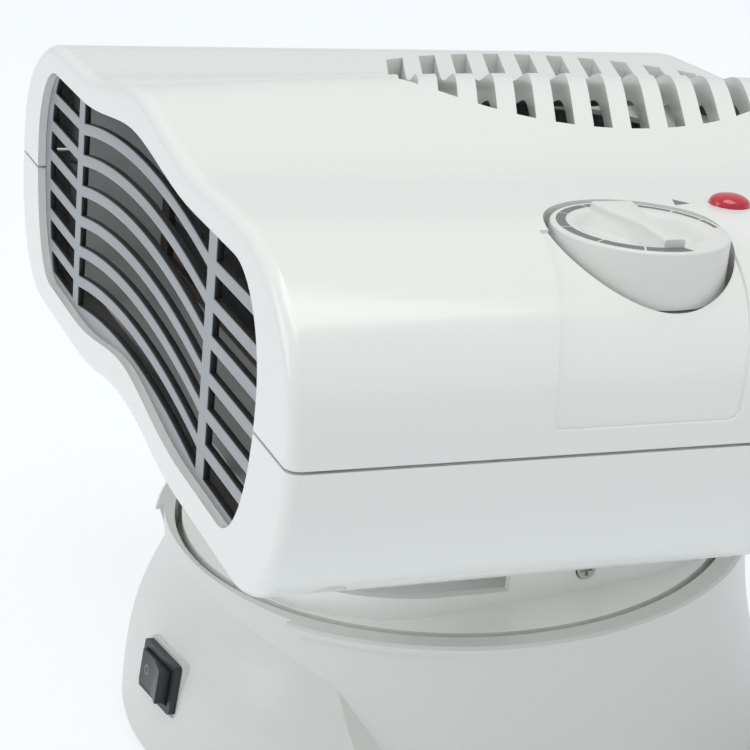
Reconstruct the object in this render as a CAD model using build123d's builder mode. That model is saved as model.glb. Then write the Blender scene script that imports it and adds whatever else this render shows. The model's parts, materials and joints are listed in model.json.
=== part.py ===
from build123d import *
import os
from math import atan2, cos, degrees, radians, sin

os.makedirs("parts", exist_ok=True)

# Fan heater on a swivelling base. The origin is the centre of the floor contact,
# on the swivel axis. +Z is up and the grille faces -Y. The heater housing is
# pitched front up, so its pieces are drawn in their own tilted frame. The base is
# drawn facing -Y and then turned a little under the head.

# Driving dimensions, in mm
pitch = 5.27                # front-up tilt of the heater housing
base_turn = 9.0             # turn of the base under the head, about the swivel axis
ring_height = 60.0          # top of the turntable above the floor

# Heater housing, in its own frame: x across, y front to back, z up
half_width = 140.0
front_y = -105.0
rear_y = 115.0
wall = 2.5
flat_top = 119.0            # flat shoulders of the top
flat_bottom = 32.5
seam_z = 75.6               # joint between the two housings
seam_gap = 0.8
shoulder_x = 92.0           # the upper corners start here on the flat and the side
shoulder_z = 80.0
shoulder_radius = 35.0
chine_x = 105.0             # the lower corners, likewise
chine_z = 72.0
chine_radius = 44.6
crown_half = 63.0           # half width of the raised crown of the top
arch_half = 57.0            # half width of the arch of the underside
arch_rise = 5.5
front_edge_round = 3.5
rear_edge_round = 7.0
crown_front = 8.0           # crown height at the lip, in the middle and behind
crown_middle = 13.0
crown_rear = 11.0
crown_place = 15.0          # where the crown is highest
tongue = 1.5                # inner lip that locates the housings
tongue_rise = 3.0
fit_gap = 0.3               # clearance between seated mouldings

# Mouth of the housing and its grille
mouth_half = 115.5
mouth_x = 93.0              # centre of the mouth's end ellipses
mouth_z = 84.0
mouth_top = 110.8
mouth_bottom = 43.0
mouth_arch_half = 60.0
mouth_top_rise = 5.7
mouth_bottom_rise = 6.7
grille_depth = 8.0
grille_flange = 3.0
row_count = 7
row_pitch = 9.5
row_top = 108.1
row_height = 5.4
row_arch = 6.5
bar_x = 68.5
bar_width = 8.5

# Controls
knob_x = 105.2
knob_y = -7.5
mode_knob_y = 63.0
knob_radius = 21.8
knob_top = 118.8
knob_gap = 1.6              # between knob and well wall
well_floor = 104.0
well_wall = 2.0
knob_clear = 0.8
dish_radius = 16.5          # sunk middle of a knob's face
dish_depth = 3.0
knob_roof = 2.0
grip_height = 2.6           # grip of a knob above its face
grip_far = 14.5             # reach of the broad end and of the narrow end
grip_near = 17.0
grip_broad = 5.0            # half widths at the broad end, the waist and the narrow end
grip_waist = 1.9
grip_narrow = 2.5
grip_draft = 0.9
shaft_radius = 3.0
lamp_x = 88.0
lamp_y = 27.0
lamp_radius = 5.2
boss_x = 123.0              # screw bosses that join the housings
front_boss_y = -87.0
rear_boss_y = 97.0
housing_boss = 5.4
housing_recess = 4.6
panel_recess = 0.8
panel_bottom = 81.9

# Vents in the crown, and the blower below them
vent_x = -31.0
vent_y = 37.0
vent_half_x = 61.0          # the slots fill a turned ellipse
vent_half_y = 75.0
vent_turn = 11.1
slot_angle = 19.5
slot_count = 11
slot_width = 5.4
slot_pitch = 10.85
slot_shift = 4.25           # middle of the row of slots, behind the fan's axis
corner_slot = [(-18.5, -56.5), (-10.8, -62.9), (-2.2, -60.4)]
vent_depth = 8.0
fan_radius = 48.0
fan_blades = 20
blade_camber = 1.6
blade_sweep = 5.5
blade_thick = 0.9
fan_height = 30.0
fan_floor = 70.0            # underside of the impeller
blade_depth = 10.0
hub_radius = 9.0
motor_radius = 31.0
scroll_wall = 1.8
scroll_floor = 64.0
scroll_top = 106.0

# Duct and heating element behind the grille
duct_half = 104.0
duct_bottom = 47.0
duct_top = 107.0
duct_wall = 1.6
duct_rear = -36.0
element_block = 8.0         # insulating block at each end of the element
element_front = -66.0
element_depth = 14.0
strip_count = 4
strip_height = 10.0
bar_height = 2.6
fin_pitch = 6.0
fin_width = 1.4
fin_wall = 0.6
element_recess = 2.0        # bars and fins behind the faces of the frame

# Turntable and neck
turntable_radius = 81.8
turntable_thick = 3.0
groove = 2.2
neck_half_x = 65.0
neck_half_y = 76.0
neck_corner = 46.0
neck_wall = 3.0
window_rear = -10.0
window_sill = 2.4           # front wall of the neck below the window
neck_screw_y = 13.5
neck_screw_z = 6.0          # above the turntable
neck_screw_recess = 3.1
lug_width = 12.0            # lugs of the lower housing that the neck screws hold
lug_thick = 4.0
hub_bore = 10.0
hub_outer = 14.95
hub_clear = 0.05

# Base
foot_radius = 99.4          # radius of the base at the floor
throat_radius = 89.0        # radius just under the rim
rim_radius = 90.0
rim_height = 2.5
flare_sag = 2.6
base_wall = 2.5
deck_top = 50.0
deck_thick = 3.0
plate_z = 2.0
plate_thick = 2.5
pad_radius = 8.0
pad_height = 3.0
pad_place = 72.0
boss_place = 60.0
boss_radius = 4.0
screw_radius = 1.5

# Swing drive
crank_place = 42.0
crank_radius = 21.0
pin_radius = 2.5
pin_clear = 1.0
crank_ratio = 3.2           # turn of the crank for the swing of the head
swing_motor_radius = 22.0
swing_motor_height = 22.0

# Raised front of the base, and the wall of the rim above it
apron_top = 54.5
apron_steps = [(2.9, 2.0), (0.6, 18.0), (-2.9, 30.0), (-8.4, 41.0), (-14.1, apron_top)]
step_top = apron_steps[-1][0]
apron_half = [(40.0, 62.0), (49.5, 52.0), (57.0, 42.0), (66.0, 30.0), (74.0, 19.0), (84.0, 2.0)]
rim_cut_radius = 108.0
rim_cut_y = 22.7

# Rocker switch on the raised front
switch_step = -2.3          # face of its seat, from the foot radius
switch_height = 27.4
switch_lean = 12.0
switch_long = 21.0
switch_short = 15.0
rocker_swing = 16.0

heater = Plane(
    origin=(0, 0, ring_height),
    x_dir=(1, 0, 0),
    z_dir=(0, sin(radians(pitch)), cos(radians(pitch))),
)


def tilted(plane):
    """The same plane, in the pitched frame of the heater housing."""
    return Plane(heater.location * plane.location)


def tilted_at(x, y, z):
    """A plane level with the housing, with its origin at a point of its frame."""
    return tilted(Plane(origin=(x, y, z)))


def spun(plane, angle):
    """The same plane, turned about its own normal."""
    return Plane(plane.location * Location((0, 0, 0), (0, 0, angle)))


def turned(plane):
    """The same plane, turned with the base about the swivel axis."""
    return Plane(Location((0, 0, 0), (0, 0, base_turn)) * plane.location)


def save(piece, name, turn=0):
    """Turns a finished piece about the swivel axis and writes it as its own file."""
    solid = piece.part.rotate(Axis.Z, turn)
    solid.label = name
    export_step(solid, "parts/" + name + ".step")


# Housing sections

def corner(side, height, start_x, flat, radius):
    """Two tangent arcs that round a corner, from its side to its flat.

    The first has the given radius. The second ends level at start_x, and its radius
    follows from the two spans and the first radius.
    """
    way = 1 if flat > height else -1
    across = side - start_x
    rise = abs(flat - height)
    wide = (across**2 - 2 * across * radius + rise**2) / (2 * (rise - radius))
    centre_x = side - radius
    centre_z = flat - way * wide
    turn = degrees(atan2(way * (height - centre_z) / (wide - radius), (centre_x - start_x) / (wide - radius)))
    CenterArc((centre_x, height), radius, 0, way * turn)
    CenterArc((start_x, centre_z), wide, way * turn, way * (90 - turn))


def ogee(x, foot, rise):
    """Two tangent arcs from a flat at x up to the middle."""
    lower = TangentArc((x, foot), (x / 2, foot + rise / 2), tangent=(-1, 0))
    TangentArc(lower @ 1, (0, foot + rise), tangent=lower % 1)


def crossing(y, inset):
    """Section of the housing across x, without its crown, shrunk by inset."""
    side = half_width - inset
    top = flat_top - inset
    bottom = flat_bottom + inset
    with BuildSketch(tilted(Plane.XZ.offset(-y))) as section:
        with BuildLine():
            Line((0, top), (shoulder_x, top))
            corner(side, shoulder_z, shoulder_x, top, shoulder_radius - inset)
            Line((side, shoulder_z), (side, chine_z))
            corner(side, chine_z, chine_x, bottom, chine_radius - inset)
            Line((chine_x, bottom), (arch_half, bottom))
            ogee(arch_half, bottom, arch_rise)
            mirror(about=Plane.YZ)
        make_face()
    return section.sketch


def crown_section(y, inset, crown):
    """Section of the raised crown at one place along the housing."""
    top = flat_top - inset
    with BuildSketch(tilted(Plane.XZ.offset(-y))) as section:
        with BuildLine():
            Spline((-crown_half, top), (0, top + crown), (crown_half, top), tangents=[(1, 0), (1, 0)])
            Line((crown_half, top), (crown_half, top - wall))
            Line((crown_half, top - wall), (-crown_half, top - wall))
            Line((-crown_half, top - wall), (-crown_half, top))
        make_face()
    return section.sketch


def housing_form(inset, front, rear):
    """Solid bounded by the housing's skin, moved inwards by inset."""
    crowns = [(front, crown_front), (crown_place, crown_middle), (rear, crown_rear)]
    with BuildPart() as form:
        extrude(crossing(front, inset), amount=front - rear)
        loft(sections=[crown_section(y, inset, crown) for y, crown in crowns])
    return form.part


def mouth_line(grow):
    """Outline of the mouth, grown by the given amount, in the front plane."""
    top = mouth_top + grow
    bottom = mouth_bottom - grow
    half = mouth_half + grow
    Spline((-mouth_arch_half, top), (0, top + mouth_top_rise), (mouth_arch_half, top),
           tangents=[(1, 0), (1, 0)])
    Line((mouth_arch_half, top), (mouth_x, top))
    EllipticalCenterArc((mouth_x, mouth_z), half - mouth_x, top - mouth_z, 0, arc_size=90)
    EllipticalCenterArc((mouth_x, mouth_z), half - mouth_x, mouth_z - bottom, 270, arc_size=90)
    Line((mouth_x, bottom), (mouth_arch_half, bottom))
    Spline((mouth_arch_half, bottom), (0, bottom + mouth_bottom_rise), (-mouth_arch_half, bottom),
           tangents=[(-1, 0), (-1, 0)])
    Line((-mouth_arch_half, bottom), (-mouth_x, bottom))
    EllipticalCenterArc((-mouth_x, mouth_z), half - mouth_x, mouth_z - bottom, 180, arc_size=90)
    EllipticalCenterArc((-mouth_x, mouth_z), half - mouth_x, top - mouth_z, 90, arc_size=90)
    Line((-mouth_x, top), (-mouth_arch_half, top))



lip_back = front_y + wall
length_axis = Axis(heater.origin, heater.y_dir)
outer_form = housing_form(0, front_y, rear_y)
outer_form = fillet(outer_form.edges().group_by(length_axis)[0], front_edge_round)
outer_form = fillet(outer_form.edges().group_by(length_axis)[-1], rear_edge_round)
inner_form = housing_form(wall, lip_back, rear_y - wall)
recess_form = housing_form(panel_recess, front_y - 1, rear_y + 1)
vent_form = housing_form(vent_depth, lip_back - 1, rear_y)

vent_plane = tilted_at(vent_x, vent_y, flat_top - 30)
slot_plane = spun(vent_plane, -slot_angle)

# The skin of the crown is thicker round the vents, so each slot has deep walls.
with BuildPart() as vent_pad:
    with BuildSketch(vent_plane):
        Ellipse(vent_half_x + slot_width, vent_half_y + slot_width, rotation=vent_turn)
    extrude(amount=60)
    add(vent_form, mode=Mode.SUBTRACT)

with BuildPart() as cavity:
    add(inner_form)
    add(vent_pad.part, mode=Mode.SUBTRACT)

with BuildPart() as shell:
    add(outer_form)
    add(cavity.part, mode=Mode.SUBTRACT)
    with BuildSketch(tilted(Plane.XZ.offset(-front_y + 1))):
        with BuildLine():
            mouth_line(0)
        make_face()
    extrude(amount=-(wall + 2), mode=Mode.SUBTRACT)

knob_places = [knob_y, mode_knob_y]
well_radius = knob_radius + knob_gap
boss_places = [(-boss_x, front_boss_y), (boss_x, front_boss_y), (-boss_x, rear_boss_y), (boss_x, rear_boss_y)]
above_seam = seam_z + seam_gap / 2
below_seam = seam_z - seam_gap / 2

with BuildPart() as wells:
    with BuildSketch(tilted_at(knob_x, 0, well_floor - well_wall)):
        with Locations(*[(0, y) for y in knob_places]):
            Circle(well_radius + well_wall)
    extrude(amount=40)
    with BuildSketch(tilted(Plane.XY.offset(above_seam))):
        with Locations(*boss_places):
            Circle(housing_boss)
    extrude(amount=60)
    add(outer_form, mode=Mode.INTERSECT)


def panel_recess_tool(y):
    """Shallow leaning panel round one knob, as deep as the recess."""
    with BuildPart() as tool:
        with BuildSketch(tilted(Plane(origin=(knob_x - 2, y, 0), x_dir=(0, 1, 0), z_dir=(1, 0, 0)))):
            with BuildLine():
                Spline((-24, 121), (-30.5, 107), (-35, 85))
                RadiusArc((-35, 85), (-32, panel_bottom), -3)
                Line((-32, panel_bottom), (10.5, panel_bottom))
                RadiusArc((10.5, panel_bottom), (13.5, 85), -3)
                Spline((13.5, 85), (17.6, 102), (24, 121))
                Line((24, 121), (-24, 121))
            make_face()
        extrude(amount=60)
        add(recess_form, mode=Mode.SUBTRACT)
    return tool.part



def cut_side(z, up):
    """Removes everything above or below a level of the heater's frame."""
    with BuildSketch(tilted_at(0, 0, z)) as level:
        Rectangle(400, 400)
    extrude(level.sketch, amount=200 if up else -200, mode=Mode.SUBTRACT)


with BuildPart() as vent_cut:
    with BuildSketch(slot_plane):
        with Locations((0, slot_shift)):
            with GridLocations(1, slot_pitch, 1, slot_count):
                Rectangle(200, slot_width)
        Ellipse(vent_half_x, vent_half_y, rotation=vent_turn + slot_angle, mode=Mode.INTERSECT)
    extrude(amount=60)
    with BuildSketch(vent_plane):
        Polygon(*corner_slot, align=None)
    extrude(amount=60)

with BuildPart() as upper_housing:
    add(shell.part)
    add(wells.part)
    cut_side(above_seam, False)
    add(vent_cut.part, mode=Mode.SUBTRACT)
    for place in knob_places:
        add(panel_recess_tool(place), mode=Mode.SUBTRACT)
    with BuildSketch(tilted_at(knob_x, 0, well_floor)):
        with Locations(*[(0, y) for y in knob_places]):
            Circle(well_radius)
    extrude(amount=40, mode=Mode.SUBTRACT)
    with BuildSketch(tilted_at(knob_x, 0, well_floor - 10)):
        with Locations(*[(0, y) for y in knob_places]):
            Circle(shaft_radius + 1.5)
    extrude(amount=20, mode=Mode.SUBTRACT)
    with BuildSketch(tilted_at(lamp_x, lamp_y, flat_top - 20)):
        Circle(lamp_radius + 0.15)
    extrude(amount=40, mode=Mode.SUBTRACT)
    with BuildSketch(tilted_at(0, 0, above_seam)):
        with Locations(*boss_places):
            Circle(screw_radius + 0.1)
    extrude(amount=14, mode=Mode.SUBTRACT)
save(upper_housing, "upper_housing")

side_in = half_width - wall
rear_in = rear_y - wall
rim_front = -88.0
rim_length = rear_in - rim_front
rim_middle = (rear_in + rim_front) / 2


def inner_rim(clearance, overlap):
    """Frame inside the side and rear walls, open towards the grille."""
    Rectangle(2 * (side_in - clearance + overlap), rim_length - clearance + overlap)
    with Locations((0, -tongue)):
        Rectangle(2 * (side_in - tongue - clearance), rim_length, mode=Mode.SUBTRACT)


with BuildPart() as lower_bosses:
    with BuildSketch(tilted_at(0, 0, flat_bottom)):
        with Locations(*boss_places):
            Circle(housing_boss)
    extrude(amount=below_seam - flat_bottom)
    with BuildSketch(tilted_at(0, (element_front + duct_rear) / 2 - 8, flat_bottom)):
        with GridLocations(160, 34, 2, 2):
            Rectangle(30, 2)
    extrude(amount=duct_bottom - duct_wall - flat_bottom)
    add(outer_form, mode=Mode.INTERSECT)

with BuildPart() as neck_lugs:
    with BuildSketch(Plane.XY.offset(ring_height + fit_gap + 1)):
        for side in (-1, 1):
            with Locations((side * (neck_half_x - neck_wall - fit_gap - lug_thick / 2), neck_screw_y)):
                Rectangle(lug_thick, lug_width)
    extrude(amount=40)
    add(cavity.part, mode=Mode.SUBTRACT)
    with BuildSketch(Plane.YZ.offset(-neck_half_x)):
        with Locations((neck_screw_y, ring_height + neck_screw_z)):
            Circle(screw_radius + 0.1)
    extrude(amount=2 * neck_half_x, mode=Mode.SUBTRACT)
    with BuildSketch(tilted_at(0, 0, flat_bottom + wall)):
        Rectangle(400, 400)
    extrude(amount=100, mode=Mode.SUBTRACT)

with BuildPart() as lower_housing:
    add(shell.part)
    cut_side(below_seam, True)
    add(lower_bosses.part)
    add(neck_lugs.part)
    with BuildSketch(tilted_at(0, rim_middle, below_seam - 5)):
        inner_rim(0, 1)
    extrude(amount=5)
    with BuildSketch(tilted_at(0, rim_middle, below_seam - 5)):
        inner_rim(fit_gap, 0)
    extrude(amount=5 + seam_gap + tongue_rise)
    with BuildSketch(tilted_at(0, 0, flat_bottom - 10)):
        with Locations(*boss_places):
            Circle(housing_recess)
    extrude(amount=10 + 14, mode=Mode.SUBTRACT)
    with BuildSketch(tilted_at(0, 0, flat_bottom)):
        with Locations(*boss_places):
            Circle(screw_radius + 0.3)
    extrude(amount=60, mode=Mode.SUBTRACT)
    with BuildSketch(tilted_at(0, 0, flat_bottom - 2)):
        Circle(hub_bore)
    extrude(amount=20, mode=Mode.SUBTRACT)
save(lower_housing, "lower_housing")


def screw(plane, length, head_radius=3.0, shank=screw_radius):
    """Pan-head screw: the head's seat is the plane, and the shank follows its normal."""
    with BuildPart() as body:
        with BuildSketch(plane):
            Circle(shank)
        extrude(amount=length)
        with BuildSketch(plane):
            Circle(head_radius)
        extrude(amount=-2.2)
        with BuildSketch(plane.offset(-2.2)):
            Rectangle(0.9, 3.6)
            Rectangle(3.6, 0.9)
        extrude(amount=1.1, mode=Mode.SUBTRACT)
    return body.part


def screws(planes, length, head_radius=3.0, shank=screw_radius):
    """A set of like screws as one group of separate solids."""
    return Compound(children=[screw(p, length, head_radius, shank) for p in planes])


def save_set(solids, name):
    """Labels a group of like solids and writes it as its own file."""
    solids.label = name
    export_step(solids, "parts/" + name + ".step")


housing_screws = screws([tilted_at(x, y, flat_bottom + 14) for x, y in boss_places], 40)
save_set(housing_screws, "housing_screws")

# Grille
grille_front = Plane.XZ.offset(-lip_back)
bar_in = bar_x - bar_width / 2
bar_out = bar_x + bar_width / 2


def grille_rows():
    """Openings of the grille: arched between the two bars, straight outside them."""
    for row in range(row_count):
        top = row_top - row * row_pitch
        low = top - row_height
        with BuildLine() as loop:
            ThreePointArc((-bar_in, top), (0, top + row_arch), (bar_in, top))
            Line((bar_in, top), (bar_in, low))
            ThreePointArc((bar_in, low), (0, low + row_arch), (-bar_in, low))
            Line((-bar_in, low), (-bar_in, top))
        make_face(loop.edges())


def field_outline():
    """Region that the openings may fill, rounded at both ends like the mouth."""
    high = 27.0
    deep = 42.0
    reach = 15.3
    EllipticalCenterArc((mouth_x, mouth_z), reach, high, 0, arc_size=90)
    Line((mouth_x, mouth_z + high), (-mouth_x, mouth_z + high))
    EllipticalCenterArc((-mouth_x, mouth_z), reach, high, 90, arc_size=90)
    EllipticalCenterArc((-mouth_x, mouth_z), reach, deep, 180, arc_size=90)
    Line((-mouth_x, mouth_z - deep), (mouth_x, mouth_z - deep))
    EllipticalCenterArc((mouth_x, mouth_z), reach, deep, 270, arc_size=90)


with BuildPart() as front_grille:
    with BuildSketch(tilted(grille_front)):
        with BuildLine():
            mouth_line(grille_flange)
        make_face()
    extrude(amount=-1.6)
    with BuildSketch(tilted(grille_front)):
        with BuildLine():
            mouth_line(0)
        make_face()
    extrude(amount=-grille_depth)
    with BuildSketch(tilted(grille_front.offset(1))) as middle_rows:
        grille_rows()
    extrude(amount=-(grille_depth + 2), mode=Mode.SUBTRACT)
    with BuildSketch(tilted(grille_front.offset(1))) as outer_rows:
        for side in (-1, 1):
            for row in range(row_count):
                with Locations((side * bar_out, row_top - row * row_pitch - row_height)):
                    Rectangle(60, row_height, align=(
                        Align.MIN if side > 0 else Align.MAX, Align.MIN))
        with BuildSketch(mode=Mode.INTERSECT):
            with BuildLine():
                field_outline()
            make_face()
    extrude(amount=-(grille_depth + 2), mode=Mode.SUBTRACT)
save(front_grille, "front_grille")

# Air duct and heating element
duct_front = lip_back + grille_depth + fit_gap
duct_middle = (duct_top + duct_bottom) / 2
duct_rise = duct_top - duct_bottom
duct_plane = Plane.XZ.offset(-duct_front)

with BuildPart() as air_duct:
    with BuildSketch(tilted(duct_plane)):
        with Locations((0, duct_middle)):
            Rectangle(2 * (duct_half + duct_wall), duct_rise + 2 * duct_wall)
            Rectangle(2 * duct_half, duct_rise, mode=Mode.SUBTRACT)
    extrude(amount=-(duct_rear - duct_front))
save(air_duct, "air_duct")

frame_half = duct_half - fit_gap
element_half = frame_half - element_block
frame_rise = duct_rise - 2 * fit_gap
stack_rise = strip_count * strip_height + (strip_count + 1) * bar_height

with BuildPart() as element_frame:
    with BuildSketch(tilted(Plane.XZ.offset(-element_front))):
        with Locations((0, duct_middle)):
            Rectangle(2 * frame_half, frame_rise)
            Rectangle(2 * element_half, stack_rise, mode=Mode.SUBTRACT)
    extrude(amount=-element_depth)
save(element_frame, "element_frame")

stack_low = duct_middle - stack_rise / 2
bar_levels = [stack_low + bar_height / 2 + k * (strip_height + bar_height) for k in range(strip_count + 1)]

with BuildPart() as ptc_bars:
    with BuildSketch(tilted(Plane.XZ.offset(-(element_front + element_recess)))):
        for level in bar_levels:
            with Locations((0, level)):
                Rectangle(2 * element_half - 0.2, bar_height)
    extrude(amount=-(element_depth - 2 * element_recess))
save(ptc_bars, "ptc_bars")

fin_count = int((2 * element_half - fin_pitch) // fin_pitch)
with BuildPart() as fin_strips:
    with BuildSketch(tilted(Plane.XZ.offset(-(element_front + element_recess)))):
        for level in bar_levels[:-1]:
            with Locations((0, level + (strip_height + bar_height) / 2)):
                Rectangle(2 * element_half - 1, strip_height)
                with GridLocations(fin_pitch, 1, fin_count, 1):
                    Rectangle(fin_pitch - fin_width, strip_height - 2 * fin_wall, mode=Mode.SUBTRACT)
    extrude(amount=-(element_depth - 2 * element_recess))
save(fin_strips, "fin_strips")

with BuildPart() as thermal_cutout:
    with BuildSketch(tilted(Plane.XZ.offset(-(element_front + element_depth)))):
        with Locations((40, duct_top - 6)):
            Rectangle(26, 8)
    extrude(amount=-1)
    with BuildSketch(tilted(Plane.XZ.offset(-(element_front + element_depth + 1)))):
        with Locations((40, duct_top - 8)):
            Circle(7)
    extrude(amount=-6)
save(thermal_cutout, "thermal_cutout")

# Blower: a spiral casing with a vertical axis below the vents
fan_plane = tilted_at(vent_x, vent_y, 0)
spiral_start = -40.0
spiral_turn = 220.0
spiral_base = fan_radius + 7
spiral_growth = 17.0


def spiral_point(turn, grow):
    """Point of the casing's spiral at a share of its turn, about the fan's axis."""
    angle = radians(spiral_start + turn * spiral_turn)
    reach = spiral_base + spiral_growth * turn + grow
    return (reach * cos(angle), reach * sin(angle))


def casing_outline(grow):
    """Spiral wall, widening into the rear end of the duct, grown by its thickness."""
    points = [spiral_point(k / 10, grow) for k in range(11)]
    mouth_left = (-duct_half - vent_x - grow, duct_rear - vent_y)
    mouth_right = (duct_half - 24 - vent_x + grow, duct_rear - vent_y)
    spiral = Spline(*points)
    Line(spiral @ 1, mouth_left)
    Line(mouth_left, mouth_right)
    Line(mouth_right, spiral @ 0)


with BuildPart() as blower_scroll:
    with BuildSketch(fan_plane.offset(scroll_floor)) as casing:
        with BuildLine():
            casing_outline(scroll_wall)
        make_face()
    extrude(amount=scroll_top - scroll_floor)
    with BuildSketch(fan_plane.offset(scroll_floor + scroll_wall)):
        with BuildLine():
            casing_outline(0)
        make_face()
    extrude(amount=scroll_top, mode=Mode.SUBTRACT)
    with BuildSketch(fan_plane.offset(scroll_floor - 1)):
        Circle(hub_radius)
    extrude(amount=scroll_wall + 2, mode=Mode.SUBTRACT)
save(blower_scroll, "blower_scroll")

inlet_radius = fan_radius - 6
with BuildPart() as scroll_cover:
    with BuildSketch(fan_plane.offset(scroll_top)):
        with BuildLine():
            casing_outline(scroll_wall)
        make_face()
        Circle(inlet_radius, mode=Mode.SUBTRACT)
    extrude(amount=1.6)
save(scroll_cover, "scroll_cover")

motor_low = 42.0
shaft_thin = 2.0
with BuildPart() as fan_motor:
    with BuildSketch(fan_plane.offset(motor_low)):
        Circle(motor_radius)
    extrude(amount=scroll_floor - motor_low)
    chamfer(fan_motor.faces().sort_by(Axis(heater.origin, heater.z_dir))[0].edges(), 3)
    with BuildSketch(fan_plane.offset(motor_low + 4)):
        Circle(shaft_thin + hub_clear)
    extrude(amount=40, mode=Mode.SUBTRACT)
save(fan_motor, "fan_motor")

fan_top = fan_floor + fan_height
with BuildPart() as motor_shaft:
    with BuildSketch(fan_plane.offset(motor_low + 4.5)):
        Circle(shaft_thin)
    extrude(amount=fan_floor + 12 - motor_low - 4.5)
save(motor_shaft, "motor_shaft")

blade_inner = fan_radius - blade_depth
blade_middle = fan_radius - blade_depth / 2
with BuildSketch() as blade:
    with BuildLine():
        hollow = ThreePointArc(
            (blade_inner, 0), (blade_middle, blade_camber), (fan_radius - blade_thick, blade_sweep))
        back = ThreePointArc(
            (blade_inner, blade_thick), (blade_middle, blade_camber + blade_thick),
            (fan_radius - blade_thick, blade_sweep + blade_thick))
        Line(hollow @ 0, back @ 0)
        Line(hollow @ 1, back @ 1)
    make_face()

with BuildPart() as impeller:
    with BuildSketch(fan_plane.offset(fan_floor)):
        Circle(fan_radius)
    extrude(amount=1.5)
    with BuildSketch(fan_plane.offset(fan_floor)):
        Circle(hub_radius)
    extrude(amount=14)
    with BuildSketch(fan_plane.offset(fan_floor)):
        with PolarLocations(0, fan_blades):
            add(blade.sketch)
    extrude(amount=fan_height)
    with BuildSketch(fan_plane.offset(fan_top - 2)):
        Circle(fan_radius + 0.8)
        Circle(fan_radius - 2, mode=Mode.SUBTRACT)
    extrude(amount=2)
    with BuildSketch(fan_plane.offset(fan_floor - 1)):
        Circle(shaft_thin)
    extrude(amount=13, mode=Mode.SUBTRACT)
save(impeller, "impeller")

# Controls under the wells
with BuildPart() as thermostat:
    with BuildSketch(tilted_at(knob_x, knob_y, well_floor - well_wall)):
        Rectangle(26, 30)
    extrude(amount=-13)
    with BuildSketch(tilted_at(knob_x - 4, knob_y, well_floor - well_wall - 13)):
        Rectangle(8, 40)
    extrude(amount=-1.2)
    with BuildSketch(tilted_at(knob_x, knob_y, well_floor - well_wall)):
        Circle(shaft_radius + hub_clear)
    extrude(amount=-12, mode=Mode.SUBTRACT)
save(thermostat, "thermostat")

with BuildPart() as mode_switch:
    with BuildSketch(tilted_at(knob_x, mode_knob_y, well_floor - well_wall)):
        RectangleRounded(28, 28, 3)
    extrude(amount=-18)
    with BuildSketch(tilted_at(knob_x, mode_knob_y, well_floor - well_wall - 18)):
        with GridLocations(7, 14, 3, 2):
            Rectangle(0.8, 4.8)
    extrude(amount=-6)
    with BuildSketch(tilted_at(knob_x, mode_knob_y, well_floor - well_wall)):
        Circle(shaft_radius + hub_clear)
    extrude(amount=-12, mode=Mode.SUBTRACT)
save(mode_switch, "mode_switch")

knob_low = well_floor + knob_clear
knob_rise = knob_top - knob_low
knob_hollow = knob_rise - dish_depth - knob_roof


def grip_outline(grow):
    """Plan of a grip, waisted between its broad and its narrow end."""
    far = -grip_far - grow
    near = grip_near + grow
    broad = grip_broad + grow
    waist = grip_waist + grow
    narrow = grip_narrow + grow
    Spline((far, broad), (0, waist), (near, narrow))
    Line((near, narrow), (near, -narrow))
    Spline((near, -narrow), (0, -waist), (far, -broad))
    Line((far, -broad), (far, broad))


def knob(y, turn):
    """Round knob with a hollow underside, a sunk middle and a waisted grip across it."""
    base = spun(tilted_at(knob_x, y, knob_low), turn)
    with BuildPart() as body:
        with BuildSketch(base):
            Circle(knob_radius)
        extrude(amount=knob_rise)
        with BuildSketch(base.offset(knob_rise - dish_depth)) as floor:
            Circle(dish_radius - dish_depth)
        with BuildSketch(base.offset(knob_rise)) as brim:
            Circle(dish_radius)
        loft(sections=[floor.sketch, brim.sketch], mode=Mode.SUBTRACT)
        with BuildSketch(base):
            Circle(knob_radius - 2)
            Circle(shaft_radius + 3, mode=Mode.SUBTRACT)
        extrude(amount=knob_hollow, mode=Mode.SUBTRACT)
        with BuildSketch(base.offset(knob_rise - dish_depth - knob_roof / 2)) as foot:
            with BuildLine():
                grip_outline(grip_draft)
            make_face()
        with BuildSketch(base.offset(knob_rise + grip_height)) as crest:
            with BuildLine():
                grip_outline(0)
            make_face()
        loft(sections=[foot.sketch, crest.sketch])
        with BuildSketch(base):
            Circle(shaft_radius)
        extrude(amount=knob_hollow, mode=Mode.SUBTRACT)
    return body


def knob_shaft(y):
    """Shaft from the switch below up into the knob's hub."""
    with BuildPart() as body:
        with BuildSketch(tilted_at(knob_x, y, well_floor - well_wall - 11)):
            Circle(shaft_radius)
        extrude(amount=knob_low + knob_hollow - (well_floor - well_wall - 11))
    return body


save(knob(knob_y, 0), "thermostat_knob")
save(knob_shaft(knob_y), "thermostat_shaft")
save(knob(mode_knob_y, -90), "mode_knob")
save(knob_shaft(mode_knob_y), "mode_shaft")

lamp_plane = tilted_at(lamp_x, lamp_y, 0)
skin_low = flat_top - wall
with BuildPart() as pilot_lamp_lens:
    with BuildSketch(lamp_plane.offset(skin_low - 4)):
        Circle(lamp_radius)
    extrude(amount=wall + 4.4)
    fillet(pilot_lamp_lens.faces().sort_by(Axis(heater.origin, heater.z_dir))[-1].edges(), 1.8)
    with BuildSketch(lamp_plane.offset(skin_low - fit_gap)):
        Circle(lamp_radius + 1.6)
    extrude(amount=-1.2)
save(pilot_lamp_lens, "pilot_lamp_lens")

with BuildPart() as lamp_holder:
    with BuildSketch(lamp_plane.offset(skin_low - fit_gap - 1.2)):
        Circle(lamp_radius + 1.6)
        Circle(lamp_radius + 0.05, mode=Mode.SUBTRACT)
    extrude(amount=-12)
    with BuildSketch(lamp_plane.offset(skin_low - fit_gap - 13.2)):
        Circle(lamp_radius + 1.6)
    extrude(amount=-1.2)
save(lamp_holder, "lamp_holder")

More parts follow.
